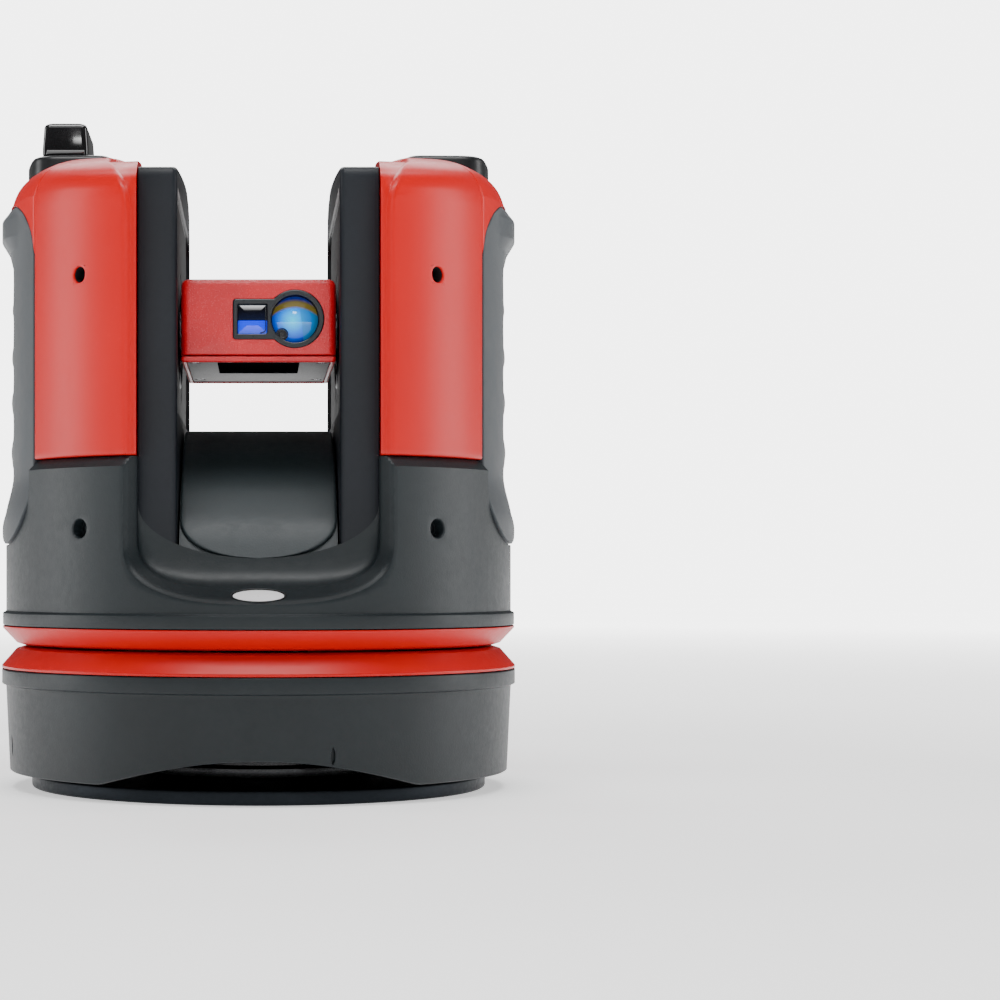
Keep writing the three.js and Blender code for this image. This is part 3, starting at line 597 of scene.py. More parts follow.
def build_base():
    plate = rounded([(12, 0, 0.3), (82.5, 0, 1.3), (82.5, 5, 0.9), (12, 5, 0.4)])
    piece("foot_plate", *turned(plate, 220), "plate", "base", ["base_plate"])
    insert = rounded([(7.94, 0.5), (11.7, 0.5), (11.7, 5.3), (20, 5.3), (20, 8), (11.7, 8), (11.7, 14),
                      (7.94, 14)], 0.3)
    thread = []
    for k in range(12):
        z = 1.2 + k * 1.05
        thread += [(7.95, z), (8.5, z + 0.5)]
    thread = [(7.95, 0.9)] + thread + [(7.95, 13.9)]
    outer = [(r, z) for r, z in insert if r > 9.0]
    profile = thread + [p for p in reversed(outer)]
    piece("thread_insert", *turned(profile, 96), "brass", "base", ["tripod_insert"])
    ring = rounded([(34, 5.3), (42, 5.3), (42, 9, 0.5), (40.6, 9.8, 0.5), (40.6, 16.2), (34, 16.2)], 0.6)
    piece("polished_neck", *turned(ring, 160), "bright", "base", ["neck_ring"])

    arch_half, arch_top = 54.0, 15.6

    def bottom(theta):
        x = abs(90.5 * math.sin(math.radians(theta)))
        if x >= arch_half or abs((theta + 90) % 180 - 90) > 60:
            return 6.5
        return 6.5 + (arch_top - 6.5) * (1 - (x / arch_half) ** 2) ** 1.1

    outline = [(90.4, 6.5), (91.8, 36.5)]

    def radius(z):
        return outline[0][0] + (outline[1][0] - outline[0][0]) * (z - 6.5) / 30.0

    def wall(theta, v, inset):
        z = v
        if v < 20:
            t = (v - 6.5) / 13.5
            z = bottom(theta) + t * (20 - bottom(theta))
        x, y = polar(radius(z) - inset, theta)
        return x, y, z

    us = spread(0.0, 360.0, 300)
    vs = spread(6.5, 36.5, 26)
    metric = 91.0 * math.pi / 180
    holes = [{"u": a, "v": mid, "ru": 0.75, "rv": half, "power": 6.0, "depth": 1.2, "edge": 0.25,
              "room": (0.65, room)}
             for a, mid, half, room in ((15.6, 13.4, 6.4, 0.2), (105.6, 15.8, 4.0, 1.2),
                                        (195.6, 13.4, 6.0, 0.2), (285.6, 15.8, 4.0, 1.2))]
    holes += [{"u": 180 + s * 8.92, "v": 28.0, "ru": 6.2, "rv": 6.2, "depth": 3.4, "edge": 0.8, "floor": False,
               "room": (1.4, 1.4)}
              for s in (1, -1)]
    skirt = skin(us, vs, wall, metric, holes)
    rows = [[(*polar(r, a), z) for a in us] for r, z in rounded(
        [(91.8, 36.5), (91.9, 36.9, 0.3), (93.3, 37.5, 0.4), (93.3, 42.8, 0.5), (88.4, 42.8, 0.3), (88.2, 20)],
        0.4, 4, False)]
    lip = weld(rows)
    inner_rows = []
    for r, drop in ((90.4, 0.0), (90.0, -0.3), (89.4, -0.35), (87.2, -0.2), (86.9, 0.4), (86.8, None), (8, None)):
        row = []
        for a in us:
            z = 16.5 if drop is None else bottom(a) + drop
            row.append((*polar(r, a), z))
        inner_rows.append(row)
    floor_top = weld([[(*polar(r, a), 20) for a in us] for r in (88.2, 31, 8)])
    bore = weld([[(*polar(8, a), z) for a in us] for z in (16.5, 20)])
    shell = merge(skirt, lip, weld(inner_rows), floor_top, bore)
    piece("base_skirt", *shell, "dark", "base", ["base_shell"])

    low = rounded([(80, 43.1), (93.3, 43.1, 0.2), (93.3, 44.0, 0.35), (88.0, 50.0, 0.5), (85.7, 50.7, 0.3),
                   (80, 50.7)], 0.3)
    piece("red_ring_lower", *turned(low, 260), "red", "base", ["lower_ring"])

    for name, x, node in (("power_inlet", 14, "power_socket"), ("data_inlet", -14, "data_socket")):
        profile = rounded([(0, 8.0), (4.2, 8.0), (4.2, 0.2, 0.2), (5.9, 0.2, 0.5), (5.9, 14.0), (0, 14.0)], 0.2, 3,
                          False)
        parts = [lathe(profile, (x, 90.3, 28), (0, -1, 0), 48)]
        pins = 1 if x > 0 else 5
        for k in range(pins):
            a = math.tau * k / max(pins, 1) + 0.4
            reach = 0.0 if pins == 1 else 2.4
            place = (x + reach * math.cos(a), 90.3, 28 + reach * math.sin(a))
            size = 1.0 if pins == 1 else 0.45
            parts.append(lathe([(0, 1.8), (size * 0.7, 1.8), (size, 2.3), (size, 8.2)], place, (0, -1, 0), 16))
        piece(name, *merge(*parts), "steel", "base", [node])


# ---------------------------------------------------------------- turning housing

HOUSE_R = 91.8


def grip_start(z):
    """Angle at which a grip begins at a height: its corners are cut round at both ends."""
    if z < 106.0:
        k = min((106.0 - z) / 19.0, 1.0)
        return 60.0 + 18.0 * (1 - math.sqrt(max(0.0, 1 - k * k)))
    if z > 187.5:
        k = min((z - 187.5) / 20.0, 1.0)
        return 60.0 + 17.0 * (1 - math.sqrt(max(0.0, 1 - k * k)))
    return 60.0


SHOULDER_Z = 112.6
DECK_Z = 116.0


def super_u(half, centre_z, drop, power, top, flat_steps=14, turn_steps=40):
    """U-shaped line from the upper right, round the bottom, to the upper left, as (x, z)."""
    right = [(half, z) for z in spread(top, centre_z, flat_steps)][:-1]
    for k in range(turn_steps + 1):
        a = math.pi / 2 * k / turn_steps
        c, s = max(math.cos(a), 0.0), max(math.sin(a), 0.0)
        right.append((half * c ** (2 / power), centre_z - drop * s ** (2 / power)))
    left = [(-x, z) for x, z in reversed(right[:-1])]
    return right + left


def frame_line(theta_edge, low, top=SHOULDER_Z, corner=88.0, flat_steps=14, side=14, along=26):
    """Line on the housing that borders the front patch, matched to super_u point for point, as (theta, z)."""
    right = [(theta_edge, z) for z in spread(top, corner, flat_steps)][:-1]
    right += [(theta_edge, z) for z in spread(corner, low, side)][:-1]
    right += [(t, low) for t in spread(theta_edge, 0.0, along)]
    left = [(-t, z) for t, z in reversed(right[:-1])]
    return right + left


def build_housing():
    edge_angle = 33.0
    low = 64.4
    outer = super_u(43.9, 87.5, 19.9, 2.6, SHOULDER_Z)
    inner = super_u(40.3, 89.5, 17.7, 2.9, SHOULDER_Z)
    back = super_u(40.3, 100.0, 18.0, 2.0, SHOULDER_Z)
    border = frame_line(edge_angle, low)

    def on_skin(x, z, inset=0.0):
        return x, -math.sqrt((HOUSE_R - inset) ** 2 - x * x), z

    def blend_line(a, b, t):
        return [((p[0] * (1 - t) + q[0] * t), (p[1] * (1 - t) + q[1] * t)) for p, q in zip(a, b)]

    border_xz = [(HOUSE_R * math.sin(math.radians(t)), z) for t, z in border]
    grown = super_u(45.5, 87.5, 21.4, 2.6, SHOULDER_Z)
    rows = []
    for t in (0.0, 0.2, 0.4, 0.6, 0.8, 1.0):
        line = blend_line(border_xz, grown, t)
        rows.append([on_skin(x, z) for x, z in line])

    def ledge_y(x, z):
        drop = min(abs(x) / 40.3, 1.0)
        return -82.0 + 6.5 * drop * drop

    # small chamfer, shaded bevel, rounded inner edge
    soft = super_u(45.0, 87.5, 20.9, 2.6, SHOULDER_Z)
    rows.append([on_skin(x, z, 0.15) for x, z in soft])
    rim = super_u(44.3, 87.5, 20.3, 2.6, SHOULDER_Z)
    rows.append([on_skin(x, z, 1.0) for x, z in rim])
    inner_edge = [(x, ledge_y(x, z), z) for x, z in inner]
    start = [on_skin(x, z, 1.35) for x, z in outer]
    for t in (0.0, 0.25, 0.5, 0.75, 0.93):
        rows.append([tuple(p * (1 - t) + q * t for p, q in zip(a, b)) for a, b in zip(start, inner_edge)])
    floor_y = -72.0

    def scoop(t):
        row = []
        for (x0, y0, z0), (x1, z1) in zip(inner_edge, back):
            c, s = 1 - math.cos(t * math.pi / 2), math.sin(t * math.pi / 2)
            row.append((x0 + (x1 - x0) * c, y0 + (floor_y - y0) * s, z0 + (z1 - z0) * c))
        return row

    for t in (0.05, 0.14, 0.28, 0.42, 0.56, 0.7, 0.8, 0.9, 1.0):
        rows.append(scoop(t))
    rows.append([(x, -69.0, z) for x, z in back])

    # shoulder chamfer along the top ends of the U
    def shoulder_row(columns, z):
        limit = HOUSE_R - (z - SHOULDER_Z) * 3.3 / 3.4
        if z > 115.6:
            limit -= 0.25
        out = []
        for x, y, _ in columns:
            if math.hypot(x, y) > limit:
                y = -math.sqrt(limit * limit - x * x)
            out.append((x, y, z))
        return out

    right_top = [row[0] for row in rows]
    left_top = [row[-1] for row in rows]
    steps = (SHOULDER_Z, 112.9, 113.4, 114.4, 115.2, 115.7, DECK_Z)
    front = [weld(rows)]
    for top_line in (right_top, left_top):
        front.append(weld([shoulder_row(top_line, z) for z in steps]))
        inside = [(x, y + 4.0, DECK_Z) for x, y, _ in shoulder_row(top_line, DECK_Z)]
        front.append(weld([shoulder_row(top_line, DECK_Z), inside]))
    verts, faces = merge(*front)
    parts = [(verts, faces), (flipped(verts, 1), faces)]

    # side skins with screw holes
    metric = HOUSE_R * math.pi / 180
    zs = spread(SHOULDER_Z, 88.0, 14)[:-1] + spread(88.0, low, 14)
    for lean, mirror in ((0, 1), (0, -1), (180, 1), (180, -1)):
        def wall(theta, z, inset, lean=lean, mirror=mirror):
            a = theta if lean == 0 else 180 - theta
            x, y = polar(HOUSE_R - inset, a)
            return x * mirror, y, z

        us = spread(edge_angle, 60.0, 22)
        hole = {"u": 41.0, "v": 92.0, "ru": 3.2, "rv": 3.2, "depth": 4.2, "edge": 0.5, "room": (2.0, 2.0)}
        parts.append(skin(us, zs, wall, metric, [hole]))
        top_rows = []
        for z in steps:
            limit = HOUSE_R - (z - SHOULDER_Z) * 3.3 / 3.4 - (0.25 if z > 115.6 else 0)
            row = []
            for u in us:
                a = u if lean == 0 else 180 - u
                if u == edge_angle:
                    x = HOUSE_R * math.sin(math.radians(edge_angle))
                    y = -math.sqrt(limit ** 2 - x * x) * (1 if lean == 0 else -1)
                else:
                    x, y = polar(limit, a)
                row.append((x * mirror, y, z))
            top_rows.append(row)
        top_rows.append([(x * 0.93, y * 0.93, DECK_Z) for x, y, _ in top_rows[-1]])
        parts.append(weld(top_rows))
        seam = []
        for r in (HOUSE_R, 91.4, 85.6):
            a = 60.0 if lean == 0 else 120.0
            shift = 0.0 if r == HOUSE_R else 0.25
            a2 = a + (shift if lean == 0 else -shift)
            x, y = polar(r, a2)
            seam.append([(x * mirror, y, z) for z in [DECK_Z - 4.0, *zs]])
        parts.append(weld(seam))
    for mirror in (1, -1):
        for rear in (False, True):
            web = []
            for z in spread(87.0, 106.0, 20):
                end = grip_start(z) + 0.25
                row = [polar(HOUSE_R, a) for a in spread(60.0, end, 8)]
                row.append(polar(85.6, end))
                web.append([(x * mirror, -y if rear else y, z) for x, y in row])
            parts.append(weld(web))
        us = spread(60.0, 120.0, 44)
        rows = []
        for z in [87.0] + [z for z in zs if z < 86.9]:
            rows.append([(polar(HOUSE_R, a)[0] * mirror, polar(HOUSE_R, a)[1], z) for a in us])
        ledge = [[(polar(r, a)[0] * mirror, polar(r, a)[1], z) for a in us]
                 for r, z in ((85.6, 87.3), (91.2, 87.3), (91.65, 87.2), (HOUSE_R, 87.0))]
        parts += [weld(ledge), weld(rows)]
    lip = rounded([(HOUSE_R, low, 0), (HOUSE_R, 63.6, 0.35), (93.0, 62.9, 0.35), (93.0, 58.5, 0.5), (80, 58.5)],
                  0.3, 4, False)
    us = spread(0, 360, 300)
    parts.append(weld([[(*polar(r, a), z) for a in us] for r, z in lip]))
    parts.append(weld([[(*polar(r, a), 60.5) for a in us] for r in (80, 18.3)]))
    parts.append(weld([[(*polar(80, a), z) for a in us] for z in (58.5, 60.5)]))
    piece("turning_housing", *merge(*parts), "dark", "yoke", ["lower_housing"], math.radians(28))

    high = rounded([(80, 51.5), (85.7, 51.5, 0.3), (88.0, 52.2, 0.5), (93.0, 57.5, 0.4), (93.0, 58.2, 0.2),
                    (80, 58.2)], 0.3)
    piece("red_ring_upper", *turned(high, 260), "red", "yoke", ["upper_ring"])
    corners = {"front_right": 41, "rear_right": 139, "rear_left": 221, "front_left": 319}
    for where, angle in corners.items():
        x, y = polar(87.6, angle)
        out = polar(1, angle)
        screw("screw_low_" + where, "yoke", ["housing_screw_" + where], (x, y, 92.0), (*out, 0), 2.9, 7.0)


def build_badge():
    tilt = math.atan2(4.9, 9.8)
    normal = Vector((0, -math.sin(tilt), math.cos(tilt)))
    along = Vector((1, 0, 0))
    up = Vector((0, math.cos(tilt), math.sin(tilt)))
    centre = Vector((0, -86.6, 69.55))

    def ellipse(a, b, h, n=72):
        return [tuple(centre + along * a * math.cos(math.tau * i / n) + up * b * math.sin(math.tau * i / n)
                      + normal * h) for i in range(n)]

    # dark raised ring round the badge: painted shadow of the recess rim above the badge
    dish = [ellipse(9.2, 4.9, -0.3), ellipse(9.2, 4.9, 0.25), ellipse(9.05, 4.75, 0.38), ellipse(8.85, 4.55, 0.30),
            ellipse(8.75, 4.45, 0.0), ellipse(8.7, 4.4, -0.4)]
    piece("badge_shade_ring", *merge(weld(dish, True), fan(dish[-1])), "pit", "yoke")
    rows = [ellipse(8.45, 4.15, -0.35), ellipse(8.45, 4.15, -0.05), ellipse(8.3, 4.0, 0.08)]
    rows += [ellipse(8.3 * k, 4.0 * k, 0.08 + 0.22 * (1 - k * k)) for k in (0.95, 0.8, 0.55, 0.3, 0.1)]
    piece("badge_oval", *merge(weld(rows, True), fan(rows[-1])), "badge", "yoke", ["front_badge"])


SADDLE = [(-72, 82), (-67.5, 90), (-62, 97), (-50, 108.7), (-38, 117.2), (-22, 124.2), (-9, 127.9), (0, 129)]


def build_saddle():
    half = smooth_line(SADDLE, 8)
    line = half + [(-y, z) for y, z in reversed(half[:-1])]

    def moved(d):
        out = []
        for i, (y, z) in enumerate(line):
            a, b = line[max(i - 1, 0)], line[min(i + 1, len(line) - 1)]
            t = Vector((b[0] - a[0], b[1] - a[1])).normalized()
            out.append((y + t.y * d, z - t.x * d))
        return out

    def width(z):
        if z >= 96.0:
            return 26.6
        k = max(0.0, 1 - ((96.0 - z) / 13.9) ** 2.2)
        return 26.6 * k ** (1 / 2.2)

    def surface(d, narrow=0.0, square=False):
        rows = []
        for (y, z), (_, z0) in zip(moved(d), line):
            w = 26.7 if square else max(width(z0) - narrow, 0.02)
            count = 40
            rows.append([(w * (2 * i / count - 1), y, z) for i in range(count + 1)])
        return rows

    # both saddle pieces take the lighter saddle material: painted light
    base = surface(1.3, square=True)
    piece("saddle_sheet", *weld(base), "saddle", "yoke", thick=1.4)
    top = surface(0.0, 0.9)
    verts, faces = weld(top)

    def border(rows):
        loop = list(rows[0])
        loop += [r[-1] for r in rows[1:-1]]
        loop += list(reversed(rows[-1]))
        loop += [r[0] for r in reversed(rows[1:-1])]
        return loop

    rim = [border(surface(0.0, 0.9))]
    for k in range(1, 5):
        a = math.pi / 2 * k / 4
        rim.append(border(surface(0.9 * (1 - math.cos(a)), 0.9 * (1 - math.sin(a)))))
    rim.append(border(surface(1.5, 0.0)))
    piece("saddle_tongue", *merge((verts, faces), weld(rim, True)), "saddle", "yoke", ["saddle_cover"],
          math.radians(50))


# ---------------------------------------------------------------- towers

FRAME_ARCH = [(-72, 213.2), (-58, 215.8), (-40, 218.0), (-20, 220.2), (0, 222.2), (20, 223.8), (40, 224.5),
              (58, 222.6), (67, 219.0), (72, 214.0)]


def arch_z(y, points=FRAME_ARCH):
    for (y0, z0), (y1, z1) in zip(points, points[1:]):
        if y <= y1:
            t = (y - y0) / (y1 - y0)
            return z0 + (z1 - z0) * t
    return points[-1][1]


def tower_loop(inset):
    """Outline of a tower frame in the Y-Z plane."""
    side = 72 - inset
    foot = 84.6
    points = [(-side, z) for z in spread(foot + inset, 209, 30)]
    for k in range(1, 8):
        a = math.pi / 2 * k / 8
        points.append((-side + 2.4 * (1 - math.cos(a)), 209 + (4.4 - inset) * math.sin(a)))
    front = len(points)
    for y in spread(-side + 2.8, side - 2.8, 48):
        points.append((y, arch_z(y) - inset - 0.2))
    points += [(-y, z) for y, z in reversed(points[:front])]
    points += [(y, foot + inset) for y in spread(side, -side, 24)[1:-1]]
    return points


def recess_loop(inset):
    """Outline of the shallow recess on a tower's inner face, matched to tower_loop."""
    side = 66 - inset
    points = [(-side, z) for z in spread(132 + inset, 200, 30)]
    for k in range(1, 8):
        a = math.pi / 2 * k / 8
        points.append((-side + 8 * (1 - math.cos(a)), 200 + (8 - inset) * math.sin(a)))
    for y in spread(-side + 8.4, side - 8.4, 48):
        points.append((y, 208.2 - inset))
    points += [(-y, z) for y, z in reversed(points[:37])]
    points += [(y, 132 + inset) for y in spread(side, -side, 24)[1:-1]]
    return points


def build_tower(side, name):
    s = side

    def ring(loop, x):
        return [(s * x, y, z) for y, z in loop]

    rows = [ring(tower_loop(0.5), 40.4), ring(tower_loop(0.15), 40.3), ring(tower_loop(0.0), 39.9)]
    edge = 1.9
    for k in range(7):
        a = math.pi / 2 * k / 6
        rows.append(ring(tower_loop(edge * (1 - math.cos(a))), 27.3 + edge * (1 - math.sin(a))))
    rows.append(ring(recess_loop(-0.5), 27.3))
    rows.append(ring(recess_loop(-0.15), 27.4))
    rows.append(ring(recess_loop(0.0), 27.8))
    rows.append(ring(recess_loop(0.0), 28.5))
    rows.append(ring(recess_loop(0.3), 28.7))

    def hub(r, x):
        out = []
        for y, z in recess_loop(0.3):
            d = math.hypot(y, z - 162.8)
            out.append((s * x, y / d * r, 162.8 + (z - 162.8) / d * r))
        return out

    rows += [hub(23, 28.7), hub(18.2, 28.7), hub(17.9, 28.4), hub(17.4, 28.2), hub(16.8, 28.25), hub(16.5, 28.6),
             hub(16.4, 32.0)]
    # matt black sheet laid over the recess floor: painted shade in the tower's recess
    shade_liner = [ring(recess_loop(0.35), 28.62)] + [
        [(s * 28.62, y, z) for _, y, z in hub(r, 28.62)] for r in (40.0, 23.5)]
    piece(name + "_liner", *weld(shade_liner, True), "pit", "yoke", recalc=True, thick=0.05)
    back = [ring(tower_loop(0.5), 40.4), ring(tower_loop(6.0), 40.4), ring(tower_loop(6.0), 33.0)]
    piece(name, *merge(weld(rows, True), weld(back, True)), "frame", "yoke", [name.replace("inner", "frame")],
          math.radians(35))


def panel_profile():
    """Outer line of a red panel from its foot to the crown, as (r, z)."""
    points = [(90.0, z) for z in spread(116.5, 203, 46)]
    curve = smooth_line([(90.0, 203), (89.9, 206), (89.2, 210), (87.3, 214.3), (84, 217.7), (79.5, 220.1),
                         (73, 221.4), (62, 221.5), (47.2, 221.0)], 7)
    return points + curve[1:]


def crown_sink(y, z):
    """How far the crown drops toward the front and the back."""
    return min(max(z - 198.0, 0.0) / 18.0, 1.0) * max(abs(y) - 40.0, 0.0) * 0.14


def build_panel(mirror, rear, where):
    profile = panel_profile()
    count = 44
    x0 = 40.75
    end = 59.7
    edge = 0.8

    def normal(i):
        a, b = profile[max(i - 1, 0)], profile[min(i + 1, len(profile) - 1)]
        t = Vector((b[0] - a[0], b[1] - a[1])).normalized()
        return -t.y, t.x

    # columns: fillet at the tower side, step up to the crown face, field, fillet at the grip side
    def column_inset(d):
        if d < 0.5:
            a = 1 - d / 0.5
            return 1.5 + 0.5 * (1 - math.sqrt(max(0.0, 1 - a * a)))
        if d < 2.9:
            return 1.5
        if d < 4.6:
            t = (d - 2.9) / 1.7
            return 1.5 * (1 - math.sin(t * math.pi / 2))
        return 0.0

    near = [0.0, 0.08, 0.2, 0.5, 1.2, 2.2, 2.8, 2.95, 3.1, 3.3, 3.6, 4.0, 4.6, 5.6]
    far = [edge * (1 - math.cos(math.pi / 2 * k / 5)) for k in range(6)]

    def row(i, extra):
        r, z = profile[i]
        nr, nz = normal(i)
        start = math.degrees(math.asin(min(1.0, x0 / r)))
        arc = (end - start) * math.pi / 180 * r
        scale = min(1.0, arc / 24.0)
        widen = 0.0
        if z > 196:
            k = min((z - 196.0) / 24.0, 1.0)
            widen = 9.0 * (1 - math.sqrt(max(0.0, 1 - k * k)))
        if r < 79.5:
            widen = 9.0
        lengths = [(d if d < 2.5 else d + widen) * scale for d in near]
        lengths += spread((5.6 + widen) * scale, arc - edge * scale, count)[1:-1]
        lengths += [arc - d * scale for d in reversed(far)]
        out = []
        for d in lengths:
            along = d / max(scale, 1e-6)
            inset = column_inset(along if along < 2.5 else max(along - widen, 2.5)) + extra
            left = (arc - d) / max(scale, 1e-6)
            if left < edge:
                inset += edge * (1 - math.sqrt(max(0.0, 1 - (1 - left / edge) ** 2)))
            rr, zz = r + nr * inset, z + nz * inset
            theta = start + d / r * 180 / math.pi
            x, y = polar(max(rr, 1.0), theta)
            out.append((max(x, x0), y, zz - crown_sink(y, zz)))
        return out

    rows = []
    for k in range(5):
        a = math.pi / 2 * k / 4
        base = row(0, 0.7 * (1 - math.sin(a)))
        rows.append([(x, y, 116.35 + 0.7 * (1 - math.cos(a))) for x, y, _ in base])
    rows += [row(i, 0.0) for i in range(1, len(profile))]
    hole_r, hole_z, hole_a = 2.7, 177.7, 42.3

    # open a block round the screw hole and fill it with rings
    n = len(rows[0])
    centre = Vector((*polar(90.0, hole_a), hole_z))
    out = Vector((*polar(1.0, hole_a), 0)).normalized()
    side = Vector((0, 0, 1)).cross(out)
    mid_row = min(range(len(rows)), key=lambda j: abs(rows[j][n // 2][2] - hole_z))
    cols = [i for i in range(n) if abs((Vector(rows[mid_row][i]) - centre).dot(side)) < 4.6]
    lines = [j for j in range(len(rows)) if abs(rows[j][n // 2][2] - hole_z) < 4.6]
    a0, a1, b0, b1 = cols[0], cols[-1], lines[0], lines[-1]
    verts = [p for line in rows for p in line]
    faces = []
    for j in range(len(rows) - 1):
        for i in range(n - 1):
            if a0 <= i < a1 and b0 <= j < b1:
                continue
            faces.append((j * n + i, j * n + i + 1, (j + 1) * n + i + 1, (j + 1) * n + i))
    rim = [rows[b0][i] for i in range(a0, a1)] + [rows[j][a1] for j in range(b0, b1)]
    rim += [rows[b1][i] for i in range(a1, a0, -1)] + [rows[j][a0] for j in range(b1, b0, -1)]
    local = [((Vector(p) - centre).dot(side), p[2] - hole_z) for p in rim]

    def circle(r, inset):
        ring = []
        for p, q in local:
            d = math.hypot(p, q)
            u, v = p / d * r, q / d * r
            bulge = 90.0 - math.sqrt(90.0 ** 2 - u * u)
            point = centre + side * u - out * (inset + bulge)
            ring.append((point.x, point.y, hole_z + v))
        return ring

    rings = [rim, circle(3.9, 0.0), circle(3.2, 0.0)]
    for k in range(1, 5):
        a = math.pi / 2 * k / 4
        rings.append(circle(hole_r + 0.5 * (1 - math.sin(a)), 0.5 * (1 - math.cos(a))))
    rings.append(circle(hole_r, 5.2))
    opened = weld(rings, True)
    verts, faces = merge((verts, faces), opened, fan(rings[-1]))

    # returns: foot, tower side, grip side
    inner = [[(x * 0.965 if x > x0 + 0.01 else x, y * 0.965, z) for x, y, z in line] for line in rows]
    foot = weld([rows[0], [(x, y, z) for x, y, z in inner[0]]])
    tower = weld([[line[0] for line in rows], [(line[0][0], line[0][1] * 0.8, line[0][2]) for line in rows]])
    grip = weld([[line[-1] for line in rows], [line[-1] for line in inner]])
    verts, faces = merge((verts, faces), foot, tower, grip)
    if mirror < 0:
        verts = flipped(verts, 0)
    if rear:
        verts = flipped(verts, 1)
    piece("red_panel_" + where, verts, faces, "red", "yoke", ["panel_" + where], math.radians(40))


GRIP_LINE = [(92.2, 87.8), (93.0, 89.6), (93.0, 94.6), (91.4, 100.5), (89.6, 107.5), (89.0, 112.0), (89.6, 117.0),
             (89.9, 121.0), (89.3, 125.4), (88.6, 129.0), (89.2, 133.6), (89.8, 138.6), (89.2, 143.2), (88.5, 147.0),
             (89.1, 150.8), (89.7, 154.6), (89.1, 160.0), (88.5, 165.0), (89.0, 168.6), (89.5, 172.0), (89.0, 176.6),
             (88.5, 181.0), (89.2, 187.0)]


def build_grip(mirror, name):
    wavy = smooth_line(GRIP_LINE, 4)
    bump_line = rounded([(89.2, 187.0), (90.4, 192.0, 2), (93.2, 196.6, 1.4), (93.2, 203.2, 1.4), (90.6, 206.6, 1.0),
                         (88.0, 207.0)], 1.0, 5, False)
    line = wavy[:-1] + bump_line

    def plain(z):
        """Front part of the grip, before the finger waves start."""
        if z < 95:
            return 93.0
        if z < 112:
            t = (z - 95) / 17
            return 93.0 - 3.0 * (t * t * (3 - 2 * t))
        return 90.0

    angles = [60.0 + d for d in (0.0, 0.05, 0.15, 0.35, 0.6)] + spread(61.5, 76.0, 10) + \
        spread(76.8, 80.2, 7) + spread(81.2, 90.0, 7)
    angles = angles + [180 - a for a in reversed(angles[:-1])]
    rows = []
    for r, z in line:
        row = []
        for a in angles:
            f = a if a <= 90 else 180 - a
            begin = grip_start(z)
            f = begin + (f - 60.0) * (90.0 - begin) / 30.0
            a = f if a <= 90 else 180 - f
            t = min(max((f - 76.0) / 4.2, 0.0), 1.0)
            t = t * t * (3 - 2 * t)
            body = min(plain(z), r + 1.2) if z > 187 else plain(z)
            if z > 187:
                t = min(max((f - 70.0) / 9.0, 0.0), 1.0)
                t = t * t * (3 - 2 * t)
                body = min(90.0, r)
            rr = body * (1 - t) + r * t
            d = (f - begin) * math.pi / 180 * 90
            if d < 0.7:
                rr -= 0.7 * (1 - math.sqrt(max(0.0, 1 - (1 - d / 0.7) ** 2)))
            x, y = polar(rr, a)
            row.append((x * mirror, y, z))
        rows.append(row)
    inner = [[(x * 0.965, y * 0.965, z) for x, y, z in row] for row in rows]
    parts = [weld(rows), weld([rows[0], inner[0]]), weld([rows[-1], inner[-1]])]
    parts += [weld([[r[k] for r in rows], [r[k] for r in inner]]) for k in (0, -1)]
    piece(name, *merge(*parts), "rubber", "yoke", [name], math.radians(38))


def build_cap(mirror, name, hole):
    """Red crown over a grip, with a dark inlay on top round its fitting."""
    crown = [(r, z) for r, z in panel_profile() if z > 208.2]
    angles = [58.4, 59.2, 59.8, 60.1, 60.7] + spread(61.5, 89.0, 22)
    angles = angles + [90.0] + [180 - a for a in reversed(angles)]

    def tucked(r, a, z):
        f = a if a <= 90 else 180 - a
        x, y = polar(r - min(max(60.1 - f, 0.0), 1.0) * 0.9, a)
        return x, y, z - crown_sink(y, z)

    rows = []
    for t in spread(0.0, 1.0, 10):
        row = []
        for a in angles:
            f = a if a <= 90 else 180 - a
            k = min(max(f - 60.0, 0.0) / 17.0, 1.0)
            low = 187.8 + 19.9 * math.sqrt(max(0.0, 1 - (1 - k) ** 2))
            row.append(tucked(90.0, a, low + (208.2 - low) * t))
        rows.append(row)
    rim = [[(x * 0.97, y * 0.97, z) for x, y, z in rows[0]]]
    rows = rim + rows
    for r, z in crown:
        rows.append([tucked(r, a, z) for a in angles])
    flat = [(41.6, -47.1 * math.cos(math.radians(a)), 220.9) for a in angles]
    rows += [flat, [(40.95, p[1], 220.7) for p in flat], [(40.75, p[1], 220.2) for p in flat],
             [(40.75, p[1], 212.0) for p in flat]]
    verts, faces = weld(rows)
    if mirror < 0:
        verts = flipped(verts, 0)
    piece("crown_" + name, verts, faces, "red", "yoke", [name], math.radians(35))
    x, y, r = hole
    s = 1 if mirror > 0 else -1
    inlay = [(s * a, b) for a, b in rounded([(52, -25, 7), (80, -24, 11), (84.5, 0, 30), (80, 24, 11), (52, 25, 7)],
                                            7, 8)]
    n = len(inlay)
    levels = []
    for d, h in ((-0.4, 216.0), (0.0, 216.4), (0.0, 224.0), (0.25, 224.9), (0.8, 225.5), (1.6, 225.85), (2.6, 226.0)):
        levels.append([(a, b, h) for a, b in offset_loop(inlay, d)])

    def ring(radius, h):
        out = []
        for a, b, _ in levels[-1]:
            d = math.hypot(a - x, b - y)
            out.append((x + (a - x) / d * radius, y + (b - y) / d * radius, h))
        return out

    levels += [ring(r + 2.4, 226.0), ring(r + 2.1, 226.0), ring(r + 1.9, 225.8), ring(r + 1.0, 225.7),
               ring(r + 0.5, 225.5), ring(r + 0.3, 225.2), ring(r + 0.3, 221.0)]
    piece("inlay_" + name, *weld(levels, True), "cap", "yoke", angle=math.radians(35))


